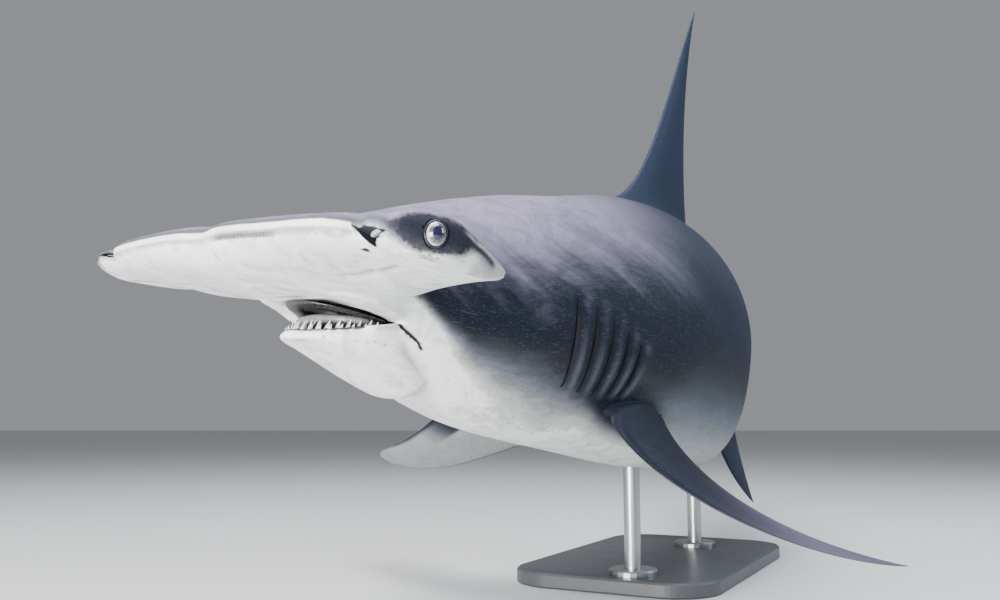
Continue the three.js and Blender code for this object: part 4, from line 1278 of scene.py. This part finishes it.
def skin_material(colors):
    paint = Paint("shark skin")
    at = paint.place()
    along, across, high = paint.axes(at)
    shade = paint.number("shade")
    up = paint.number("up")
    broad = paint.noise(at, 7.0, 4.0, 0.6, 0.4)
    streaks = paint.streaks(at, (15.0, 34.0, 46.0), 5.0, 0.7, 0.9)
    grain = paint.noise(at, 190.0, 3.0, 0.6)
    strokes = paint.streaks(at, (150.0, 330.0, 520.0), 3.0, 0.65, 0.6)
    # From belly to back: white, grey with specks, then slate
    forward = paint.number("forward")
    uneven = (broad - 0.5) * 0.050 + (streaks - 0.5) * 0.050 + (strokes - 0.5) * 0.030
    border = shade + uneven * (forward * 0.65 + 0.35)
    level = paint.step(border, -0.070, 0.095, False)
    side = paint.ramp(level, (
        (0.0, colors.belly),
        (0.05, colors.belly),
        (0.10, scaled(colors.belly, 0.68)),
        (0.25, colors.low_flank),
        (0.35, scaled(colors.low_flank, 0.60)),
        (0.45, colors.middle_flank),
        (0.55, scaled(colors.middle_flank, 0.56)),
        (0.69, scaled(colors.middle_flank, 0.25)),
        (0.82, scaled(colors.middle_flank, 0.11)),
        (0.97, colors.flank),
    ))
    dark = paint.step(level, 0.45, 0.90)
    # Painted light: lilac laid on the back where it faces up, in bands that run down towards the gills
    band_inputs = {"X": along * 2.6, "Y": across * 2.0, "Z": (high + along * 0.55) * 15.0}
    band_place = paint.node("ShaderNodeCombineXYZ", None, band_inputs)
    light_bands = paint.noise(band_place, 1.0, 4.0, 0.6, 0.5)
    ragged = (broad - 0.5) * 0.30 + (streaks - 0.5) * 0.40 + (light_bands - 0.5) * 0.75
    facing = paint.step(up - paint.number("fin") * 0.25 + ragged, -0.02, 0.66)
    lit = facing * (forward * 0.90 + 0.10)
    # Darker patches in the painted light; painted shade in the dark bands, weaker where the skin faces up
    cloud = paint.step(paint.noise(at, 17.0, 6.0, 0.72, 1.2), 0.38, 0.74)
    deep = paint.step(light_bands, 0.62, 0.36) * dark * 0.30
    scratch = paint.streaks(at, (14.0, 170.0, 260.0), 3.0, 0.6, 0.8)
    color = paint.layers(
        side,
        (colors.back, lit * dark),
        (scaled(colors.back, 0.30), cloud * lit * dark * 0.60),
        (colors.flank, deep * (1 - paint.step(up, 0.30, 0.90) * 0.8)),
        (colors.scratch, paint.step(scratch, 0.60, 0.78) * dark * 0.15),
        (colors.scratch, paint.step(strokes, 0.54, 0.80) * dark * 0.26),
    )
    # Nicks, smudges and streaks on the white, painted light on the ridges and painted shade in the hollows
    # of the gills, and specks
    nick = paint.step(strokes, 0.46, 0.26) * paint.band(level, 0.04, 0.16, 0.55, 0.75)
    white = 1 - paint.step(level, 0.06, 0.25)
    smudge = paint.step(paint.noise(at, 15.0, 5.0, 0.68, 1.2), 0.44, 0.70)
    worn = (streaks - 0.5) * 0.9 + (grain - 0.5) * 0.6
    corner = paint.step(paint.number("corner") + worn, 0.45, 1.05)
    color = paint.layers(
        color,
        (colors.speck, nick * 0.34),
        (colors.belly_shadow, smudge * white * 0.62),
        (scaled(colors.belly_shadow, 0.7), paint.step(streaks, 0.53, 0.72) * white * 0.36),
        (scaled(colors.belly_shadow, 0.45), corner * 0.55),
        (colors.gill_ridge, paint.number("gill pale") * (0.08 + broad * 0.45)),
        (scaled(colors.flank, 0.7), paint.number("gill dark") * 0.50),
        (colors.speck, speck_amount(paint, at, shade)),
    )
    # The dark patch round the eye, painted shade under the edge of the wing tip, and a pale line along that
    # edge
    mottle = (streaks - 0.5) * 0.75 + (grain - 0.5) * 0.7 + (broad - 0.5) * 0.3
    patch = paint.step(paint.number("patch") + mottle, 0.24, 0.80)
    color = paint.layers(
        color,
        (colors.eye_patch, patch * (0.80 + grain * 0.25)),
        (colors.eye_patch, paint.number("tip dark") * 1.1),
        (scaled(colors.belly, 0.9), paint.number("tip pale") * 0.55),
    )
    # The front rim, then folds in painted shade, fins with painted sheen and painted shade near their
    # roots, the painted blue sheen, slits and nostrils in painted shade, and the inside of the mouth
    color = front_rim(paint, color, colors, across, grain)
    charcoal = paint.streaks(at, (90.0, 420.0, 60.0), 3.0, 0.6, 0.4)
    inside = paint.step(paint.number("inside"), 0.25, 0.75)
    color = paint.layers(
        color,
        (scaled(colors.pore, 0.5), paint.number("fold") * 0.8),
        (scaled(colors.back, 0.62), paint.number("sheen") * dark * 0.85),
        (colors.flank, paint.number("fin") * dark * 0.7),
        (colors.blue_sheen, paint.number("blue") * 0.75),
        (colors.flank, paint.number("edge") * 0.8),
        (colors.slit, paint.number("slit") * 0.95),
        (paint.mix(colors.slit, colors.speck, charcoal), paint.number("nostril")),
        (mouth_color(paint, colors, at, along, across), inside),
    )
    roughness = 0.58 + (grain - 0.5) * 0.18 + (1 - dark) * 0.04 - inside * 0.20
    wrinkle = paint.streaks(at, (60.0, 24.0, 40.0), 4.0, 0.6, 1.0)
    denticles = paint.noise(at, 620.0, 2.0, 0.5)
    height = wrinkle * 0.50 + grain * 0.20 + denticles * 0.10 + strokes * 0.22 + cloud * 0.15
    return paint.finish(
        bump_height=height,
        bump_distance=0.0022,
        bump_strength=0.7,
        Base_Color=color,
        Roughness=roughness,
        Specular_IOR_Level=0.14,
    )


def speck_amount(paint, at, shade):
    """Small dark specks on cheek, jaw and lower flank, and short dark streaks among them."""
    fleck = paint.cells(at, 105.0)
    where = paint.step(paint.noise(at, 13.0, 2.0), 0.44, 0.60)
    near_border = paint.band(shade, -0.150, -0.040, 0.020, 0.070)
    dots = (1 - paint.step(fleck, 0.10, 0.22)) * where * near_border
    slash = paint.streaks(at, (130.0, 90.0, 300.0), 2.0, 0.5, 0.8)
    return dots * 0.85 + paint.step(slash, 0.64, 0.76) * near_border * 0.35


def front_rim(paint, color, colors, across, grain):
    """The white front margin of the hammer, with a row of pores and painted shade just under it, the shade
    strongest in the shallow hollow near the middle.
    """
    rim = paint.number("rim")
    white = paint.band(rim, -0.006, -0.003, 0.002, 0.005)
    dash = paint.node("ShaderNodeMath", {"operation": "SINE"}, {0: across * 830.0 + grain * 9.0})
    side = paint.node("ShaderNodeMath", {"operation": "ABSOLUTE"}, {0: across})
    reach = 1 - paint.step(side, 0.255, 0.300)
    hollow_shade = paint.band(across, 0.020, 0.060, 0.150, 0.200) * 0.80 + 0.20
    pores_and_rim_shade = paint.band(rim, -0.0135, -0.0110, -0.0080, -0.0055) * reach * hollow_shade
    return paint.layers(
        color,
        (colors.belly, white),
        (colors.pore, pores_and_rim_shade * 0.75),
        (colors.pore, pores_and_rim_shade * paint.step(dash, 0.2, 0.8) * 0.60),
    )


def mouth_color(paint, colors, at, along, across):
    """The lining of the mouth: black at the back, grey and striped inside the front lip."""
    folds = paint.streaks(at, (260.0, 50.0, 60.0), 3.0, 0.55, 0.5)
    striped = paint.mix(colors.mouth_dark, colors.mouth, paint.step(folds, 0.34, 0.62))
    depth = paint.step(along + across * 0.35, 0.180, 0.215)
    return paint.mix(striped, colors.mouth_dark, depth)


def eye_material(colors):
    paint = Paint("shark eye")
    radial = paint.number("radial")
    at = paint.place()
    mottle = paint.noise(at, 420.0, 4.0, 0.65, 0.4)
    spokes = paint.streaks(at, (900.0, 90.0, 900.0), 3.0, 0.6)
    marks = paint.step(mottle * 0.6 + spokes * 0.4, 0.36, 0.62)
    silver = paint.mix(colors.iris_dark, colors.iris, marks)
    rim = paint.step(radial, 0.80, 0.93)
    ring = paint.step(radial, 0.55, 0.63) * (1 - paint.step(radial + (mottle - 0.5) * 0.6, 0.68, 0.86))
    pupil = 1 - paint.step(radial, 0.55, 0.62)
    # Painted glint: a violet glow in parts of the pupil
    glow = paint.mix(colors.pupil, colors.pupil_glow, paint.step(mottle, 0.45, 0.75) * 0.35)
    color = paint.layers(
        silver,
        (colors.iris_rim, rim * (0.35 + mottle * 0.5)),
        (colors.iris_dark, ring * 0.8),
        (glow, pupil),
        # Painted shade at the eye's edge under the lid
        (colors.slit, paint.step(radial, 0.96, 1.02)),
    )
    return paint.finish(
        bump_height=mottle * (1 - pupil),
        bump_distance=0.0003,
        bump_strength=0.4,
        Base_Color=color,
        Roughness=0.22 - pupil * 0.14,
        Coat_Weight=1.0,
        Coat_Roughness=0.03,
    )


def plain_material(name, color, second, scale, roughness, bump_distance, coat=0.0):
    """A finish with soft patches of a second colour and a fine grain."""
    paint = Paint(name)
    at = paint.place()
    patches = paint.noise(at, scale, 4.0, 0.6, 0.5)
    grain = paint.noise(at, scale * 9, 3.0, 0.6)
    shown = paint.mix(color, second, paint.step(patches, 0.38, 0.66))
    return paint.finish(
        bump_height=patches * 0.6 + grain * 0.4,
        bump_distance=bump_distance,
        bump_strength=0.6,
        Base_Color=shown,
        Roughness=roughness + (grain - 0.5) * 0.2,
        Coat_Weight=coat,
        Coat_Roughness=0.1,
    )


def stand_material(name, color, metallic, roughness, streak):
    """The stand's finish, with fine brush marks or a fine orange peel, on object coordinates."""
    paint = Paint(name)
    at = paint.node("ShaderNodeTexCoord", output="Object")
    lines = paint.streaks(at, streak, 3.0, 0.6)
    wear = paint.noise(at, 9.0, 5.0, 0.65, 0.5)
    brushed = paint.mix(scaled(color, 0.82), scaled(color, 1.15), lines)
    bright = [value * 1.5 + 0.01 for value in color]
    shown = paint.mix(brushed, bright, paint.step(wear, 0.62, 0.85) * 0.25)
    return paint.finish(
        bump_height=lines,
        bump_distance=0.0003,
        bump_strength=0.35,
        Base_Color=shown,
        Metallic=metallic,
        Roughness=roughness + (wear - 0.5) * 0.18,
    )


# Teeth, gums and tongue

# For each jaw: its lip, which way its teeth point and its rows. A row has the distance inside the
# lip, the height and width of a tooth, the count, the shift along the row and its reach in degrees.
TOOTH_ROWS = {
    "lower": (LOWER_LIP, 1, (
        (0.0060, 0.0100, 0.0135, 17, 0.0, 70),
        (0.0150, 0.0200, 0.0140, 17, 0.5, 70),
        (0.0220, 0.0200, 0.0130, 9, 0.2, 34),
    )),
    "upper": (UPPER_LIP, -1, ((0.0300, 0.0010, 0.0080, 17, 0.0, 70),)),
}


def tooth_section(foot, tangent, inward, up, width, height, lean, curl):
    """One blade: a broad foot drawn in to a narrow, leaning point."""
    def section(angle, t):
        rise = 1 - (1 - t) ** 1.3
        half = 0.5 * width * (0.40 * (1 - t) ** 2.6 + 0.60 * (1 - t)) + 0.0002
        thick = 0.5 * width * (0.30 * (1 - t) ** 0.9) + 0.0002
        a = half * np.cos(angle) + lean * height * rise**1.5
        b = thick * np.sin(angle) + curl * height * rise**2
        c = height * rise
        return foot + a[:, None] * tangent + b[:, None] * inward + c[:, None] * np.array([0, 0, up])
    return section


def tooth_row(bm, lip, up, row, seed):
    """A row of blades that lean outwards, with some jumble at the front."""
    chance = np.random.default_rng(seed)
    inset, full_height, full_width, count, shift, reach = row
    for index in range(count):
        place = ((index + shift) / (count - 1)) * 2 - 1
        if abs(place) > 1:
            continue
        angle = np.array([place * reach * DEG])
        front = 1 - smooth((abs(place * reach) - 12) / 22)
        jumble = 0.35 * front
        size = 1 - 0.42 * abs(place * reach) / 70 + 0.10 * chance.uniform(-1, 1)
        foot = lip_point(lip, angle, inset)[0]
        ahead = lip_point(lip, angle + 0.02, inset)[0] - foot
        tangent = ahead / np.linalg.norm(ahead)
        inward = np.array([tangent[1], -tangent[0], 0.0])
        foot = foot + inward * 0.004 * jumble * chance.uniform(-1, 1) - np.array([0, 0, 0.003 * up])
        lean = 0.28 * np.sign(place) * abs(place) ** 0.5 + jumble * chance.uniform(-1, 1)
        curl = 0.16 + 0.5 * jumble * chance.uniform(-1, 1)
        width = full_width * size * (1 - 0.30 * front)
        height = full_height * size + 0.003
        tube(bm, 12, 8, tooth_section(foot, tangent, inward, up, width, height, lean, curl))


def gum_section(lip, inset, width, height, lift, reach):
    """A band of gum that lies inside a lip."""
    def section(angle, t):
        turn = (2 * t - 1) * reach * DEG
        across = width * (0.5 - 0.5 * np.cos(angle))
        point = lip_point(lip, turn, inset)
        deep = np.stack([across * np.cos(turn), -across * np.sin(turn), 0 * t], -1)
        slope = lift * np.sin(across / width * math.pi / 2) + height * np.sin(angle)
        knobs = 0.0007 * np.sin(58 * turn) * np.sin(angle)
        return point + deep + np.stack([0 * t, 0 * t, slope + knobs], -1)
    return section


def tongue_section(angle, t):
    """The flat tongue on the floor of the mouth."""
    polar = (0.03 + 0.94 * t) * math.pi
    ring = np.sin(polar) ** 0.5
    x = 0.256 - 0.048 * np.cos(polar)
    y = 0.076 * ring * np.cos(angle)
    top = -0.057 + 0.008 * smooth((x - 0.20) / 0.09)
    half = 0.010 * ring
    return np.stack([x, y, top - 0.010 + half * power(np.sin(angle), 0.6) - mouth_sag(y) * 0.5], -1)


def eye_section(side, room=0.0):
    turn = side * EYE["turn"] * DEG
    return ball(eye_middle(side), [radius + room for radius in EYE["radii"]], turn)


def eye_axis(side):
    """The way an eye looks."""
    turn = side * EYE["turn"] * DEG
    return np.array([-math.sin(turn), math.cos(turn), 0]) * np.array([side, side, 1])


def radial_place(spoke, side):
    """How far a corner of the eye is from its axis: 1 at the lid, and 2 at the back."""
    axis = eye_axis(side)
    level = spoke @ np.array([axis[1], -axis[0], 0])
    radial = np.hypot(level / (LID[0] - 0.001), spoke[:, 2] / (LID[1] - 0.001))
    return np.where(spoke @ axis > 0, radial, 2.0)


def lid_section(side):
    """The thin dark rim round the eye."""
    axis = eye_axis(side)
    level = np.array([axis[1], -axis[0], 0.0])
    middle = eye_middle(side) + axis * (0.0072 if side > 0 else 0.0030)

    def section(angle, t):
        turn = 2 * math.pi * t
        wide = LID[0] + 0.0014 * np.cos(angle)
        tall = LID[1] + 0.0014 * np.cos(angle)
        lift = 0.0019 * np.sin(angle) + 0.0006 * np.sin(2 * turn)
        ring = (wide * np.cos(turn))[:, None] * level
        ring[:, 2] += tall * np.sin(turn)
        return middle + ring + lift[:, None] * axis
    return section


# Settings of the panel


def color_setting(name, description, default):
    return bpy.props.FloatVectorProperty(
        name=name,
        description=description,
        default=default,
        size=3,
        min=0.0,
        max=1.0,
        subtype="COLOR",
    )


TONES = {
    # Painted light: lilac grey laid where the dark back faces up, and as a sheen on the pectoral fins
    "back": ("Back", "Lilac grey of the upper side", (0.245, 0.224, 0.320)),
    "flank": ("Flank", "Dark slate of the sides and fins", (0.0065, 0.0095, 0.0190)),
    "middle_flank": ("Middle flank", "Grey half way down the side", (0.126, 0.139, 0.166)),
    "low_flank": ("Low flank", "Pale grey above the white", (0.345, 0.355, 0.365)),
    # Painted light on the ridge behind each gill slit
    "gill_ridge": ("Gill ridge", "Paler skin behind each gill slit", (0.150, 0.165, 0.210)),
    "belly": ("Belly", "White of the underside", (0.860, 0.865, 0.845)),
    "belly_shadow": ("Belly smudges", "Faint grey smudges on the white", (0.420, 0.430, 0.440)),
    # Painted sheen: a blue cast over the tall fin and the far flank
    "blue_sheen": ("Blue sheen", "Blue cast on the tall fin and far flank", (0.012, 0.024, 0.052)),
    "scratch": ("Scratches", "Pale scratches on the back", (0.300, 0.290, 0.350)),
    "speck": ("Specks", "Small dark specks on cheek and jaw", (0.045, 0.050, 0.060)),
    "eye_patch": ("Eye patch", "Dark patch round the eye", (0.013, 0.015, 0.024)),
    # Also used, darker, for painted shade in the folds, and with painted shade under the hammer's front rim
    "pore": ("Pores", "Row of pores along the front edge", (0.110, 0.110, 0.130)),
    # Painted shade: near black inside the gill slits and nostrils, and at the edge of each eye under its
    # lid
    "slit": ("Slits", "Inside of gill slits and nostrils", (0.006, 0.007, 0.011)),
    "mouth": ("Mouth", "Paler folds of the mouth's lining", (0.300, 0.300, 0.300)),
    "mouth_dark": ("Throat", "Dark lining of the mouth", (0.012, 0.012, 0.013)),
    "iris": ("Iris", "Silver of the iris", (0.250, 0.240, 0.235)),
    "iris_dark": ("Iris mottling", "Darker marks of the iris", (0.045, 0.042, 0.050)),
    "iris_rim": ("Iris rim", "Pale outer ring of the iris", (0.600, 0.600, 0.580)),
    "pupil": ("Pupil", "Blue-black of the pupil", (0.002, 0.004, 0.034)),
    # Painted glint in the pupil
    "pupil_glow": ("Pupil glow", "Violet glow in the pupil", (0.160, 0.070, 0.170)),
}


class SharkColors(bpy.types.PropertyGroup):
    """Colours of the skin, the mouth and the eyes."""

    __annotations__ = {name: color_setting(*tone) for name, tone in TONES.items()}


class SharkStage(bpy.types.PropertyGroup):
    """Camera, floor and lights."""

    lens: bpy.props.FloatProperty(
        name="Lens",
        description="Focal length on a sensor 36 mm wide",
        default=33.48,
        min=10.0,
    )
    eye_height: bpy.props.FloatProperty(
        name="Camera height",
        description="Height of the camera above the floor",
        default=0.340,
        unit="LENGTH",
    )
    key_power: bpy.props.FloatProperty(
        name="Key light",
        description="Power of the large light overhead",
        default=340.0,
        min=0.0,
    )
    fill_power: bpy.props.FloatProperty(
        name="Fill light",
        description="Power of the low light in front",
        default=330.0,
        min=0.0,
    )
    floor_color: color_setting("Floor", "Pale floor", (0.62, 0.63, 0.64))


def settings():
    return bpy.context.scene.shark_colors, bpy.context.scene.shark_stage


# The studio: where the camera stands from the snout, its tilt, and the light of the air around
CAMERA = {"sensor": 36.0, "left": 0.402, "away": 1.201, "tilt": 0.129}
AIR = {"color": (0.80, 0.83, 0.88, 1), "strength": 0.36}


# Operators


class SHARK_OT_skin(bpy.types.Operator):
    """Make the one skin of the body and its fins"""

    bl_idname = "shark.skin"
    bl_label = "Skin"

    def execute(self, context):
        colors, _ = settings()
        skin = shape_skin()
        mark_skin(skin.data)
        finish_piece(skin, skin_material(colors), FLESH)
        return {"FINISHED"}


class SHARK_OT_mouth(bpy.types.Operator):
    """Make the gums and the tongue"""

    bl_idname = "shark.mouth"
    bl_label = "Gums and tongue"

    def execute(self, context):
        lower = gum_section(LOWER_LIP, 0.003, 0.036, 0.0030, 0.0020, 80)
        upper = gum_section(UPPER_LIP, 0.016, 0.026, 0.0030, -0.0010, 80)
        made = (
            ("gum_lower", 24, 160, lower, (0.016, 0.016, 0.018), (0.045, 0.044, 0.046)),
            ("gum_upper", 24, 160, upper, (0.007, 0.007, 0.008), (0.014, 0.014, 0.015)),
            ("tongue", 48, 60, tongue_section, (0.200, 0.200, 0.202), (0.130, 0.128, 0.130)),
        )
        for name, sides, rows, section, color, second in made:
            material = plain_material(name.replace("_", " "), color, second, 60.0, 0.35, 0.0008, 0.4)
            finish_piece(one_tube(name, sides, rows, section), material)
        return {"FINISHED"}


class SHARK_OT_teeth(bpy.types.Operator):
    """Make the rows of teeth"""

    bl_idname = "shark.teeth"
    bl_label = "Teeth"

    def execute(self, context):
        for jaw, (lip, up, rows) in TOOTH_ROWS.items():
            bm = bmesh.new()
            for seed, row in enumerate(rows, 3):
                tooth_row(bm, lip, up, row, seed)
            white, ivory = (0.82, 0.82, 0.79), (0.62, 0.61, 0.57)
            enamel = plain_material(f"enamel {jaw}", white, ivory, 90.0, 0.20, 0.0002, 0.6)
            finish_piece(object_from(bm, f"teeth_{jaw}"), enamel)
        return {"FINISHED"}


class SHARK_OT_eyes(bpy.types.Operator):
    """Make the eyes, their thin dark lids and the flaps of the nostrils"""

    bl_idname = "shark.eyes"
    bl_label = "Eyes and nostrils"

    def execute(self, context):
        colors, _ = settings()
        iris = eye_material(colors)
        pale, grey = (0.560, 0.565, 0.565), (0.220, 0.225, 0.235)
        black, slate = (0.006, 0.007, 0.011), (0.022, 0.022, 0.030)
        soft = plain_material("nostril flap", pale, grey, 160.0, 0.45, 0.0004)
        dark = plain_material("eyelid", black, slate, 140.0, 0.40, 0.0004)
        for name, side in (("left", 1), ("right", -1)):
            eye = one_tube(f"eyeball_{name}", 72, 60, eye_section(side))
            note(eye.data, "radial", radial_place(corners_of(eye.data) - eye_middle(side), side))
            finish_piece(eye, iris, (f"eye_{name}",))
            finish_piece(one_tube(f"eyelid_{name}", 16, 96, lid_section(side)), dark)
            finish_piece(one_tube(f"nostril_flap_{name}", 32, 32, flap_section(side)), soft)
        return {"FINISHED"}


def flap_section(side):
    """The pale rounded flap that hangs in the outer half of a nostril."""
    def section(angle, t):
        polar = (0.03 + 0.94 * t) * math.pi
        ring = np.sin(polar) ** 0.8
        along = -np.cos(polar)
        x = 0.0375 - 0.0020 * along + 0.0050 * ring * np.cos(angle)
        y = 0.3415 + 0.0125 * along
        z = -0.0115 + 0.0030 * along + 0.0032 * ring * np.sin(angle) * (1 - 0.25 * along)
        if side < 0:
            z = 0.004 + 0.35 * z
        return np.stack([x, side * y, z], -1)
    return section


class SHARK_OT_stand(bpy.types.Operator):
    """Give the stand its finishes"""

    bl_idname = "shark.stand"
    bl_label = "Stand"

    def execute(self, context):
        lacquer = stand_material("stand lacquer", (0.060, 0.063, 0.070), 0.0, 0.42, (160.0,) * 3)
        steel = stand_material("stand steel", (0.42, 0.43, 0.44), 1.0, 0.32, (60.0, 60.0, 900.0))
        finishes = {"stand_base": lacquer, "stand_rod_front": steel, "stand_rod_rear": steel}
        for name, material in finishes.items():
            for slot in bpy.data.objects[name].material_slots:
                slot.material = material
        return {"FINISHED"}


class SHARK_OT_stage(bpy.types.Operator):
    """Set up the floor, the lights and the camera"""

    bl_idname = "shark.stage"
    bl_label = "Stage"

    def execute(self, context):
        _, stage = settings()
        scene = context.scene
        bm = bmesh.new()
        bmesh.ops.create_grid(bm, x_segments=8, y_segments=8, size=30)
        floor = object_from(bm, "floor")
        note(floor.data, "straight", corners_of(floor.data))
        pale = stage.floor_color
        paper = plain_material("floor paper", pale, scaled(pale, 0.985), 0.8, 0.75, 0.0002)
        floor.data.materials.append(paper)
        world = bpy.data.worlds.new("studio")
        world.use_nodes = True
        air = world.node_tree.nodes["Background"].inputs
        air["Color"].default_value = AIR["color"]
        air["Strength"].default_value = AIR["strength"]
        scene.world = world
        lamps = (
            ("key", (-0.5, -1.2, 4.2), (-0.1, -0.8, 0.6), 3.0, stage.key_power, (1.0, 1.0, 1.0)),
            ("fill", (-1.9, -3.6, 0.45), (-0.2, -1.1, 0.45), 1.6, stage.fill_power, (1.0, 0.99, 0.97)),
            ("side", (3.6, -0.6, 2.2), (0.4, -0.1, 0.6), 2.0, 0.30 * stage.fill_power, (0.66, 0.82, 1.0)),
        )
        for name, at, target, size, watts, color in lamps:
            light = bpy.data.lights.new(name, "AREA")
            light.energy = watts
            light.color = color
            light.size = size
            lamp = bpy.data.objects.new(name, light)
            lamp.location = at
            lamp.rotation_euler = (Vector(target) - Vector(at)).to_track_quat("-Z", "Y").to_euler()
            scene.collection.objects.link(lamp)
        camera = bpy.data.cameras.new("camera")
        camera.sensor_width = CAMERA["sensor"]
        camera.lens = stage.lens
        viewer = bpy.data.objects.new("camera", camera)
        viewer.location = (SNOUT[0] + CAMERA["left"], SNOUT[1] - CAMERA["away"], stage.eye_height)
        viewer.rotation_euler = (math.pi / 2 + CAMERA["tilt"], 0, 0)
        scene.collection.objects.link(viewer)
        scene.camera = viewer
        return {"FINISHED"}


class SHARK_PT_panel(bpy.types.Panel):
    """Lists the shark's pieces in the sidebar"""

    bl_idname = "SHARK_PT_panel"
    bl_label = "Shark"
    bl_space_type = "VIEW_3D"
    bl_region_type = "UI"
    bl_category = "Shark"

    def draw(self, context):
        for operator in OPERATORS:
            self.layout.operator(operator.bl_idname)
        for group in (context.scene.shark_colors, context.scene.shark_stage):
            box = self.layout.box()
            for name in group.bl_rna.properties.keys():
                if name not in ("rna_type", "name"):
                    box.prop(group, name)


OPERATORS = (
    SHARK_OT_stage,
    SHARK_OT_skin,
    SHARK_OT_mouth,
    SHARK_OT_teeth,
    SHARK_OT_eyes,
    SHARK_OT_stand,
)
CLASSES = (SharkColors, SharkStage, *OPERATORS, SHARK_PT_panel)


def register():
    for each in CLASSES:
        bpy.utils.register_class(each)
    bpy.types.Scene.shark_colors = bpy.props.PointerProperty(type=SharkColors)
    bpy.types.Scene.shark_stage = bpy.props.PointerProperty(type=SharkStage)


def unregister():
    del bpy.types.Scene.shark_stage
    del bpy.types.Scene.shark_colors
    for each in reversed(CLASSES):
        bpy.utils.unregister_class(each)


def main():
    register()
    bpy.ops.shark.stage()
    bpy.ops.shark.skin()
    bpy.ops.shark.mouth()
    bpy.ops.shark.teeth()
    bpy.ops.shark.eyes()
    bpy.ops.shark.stand()


if __name__ == "__main__":
    main()
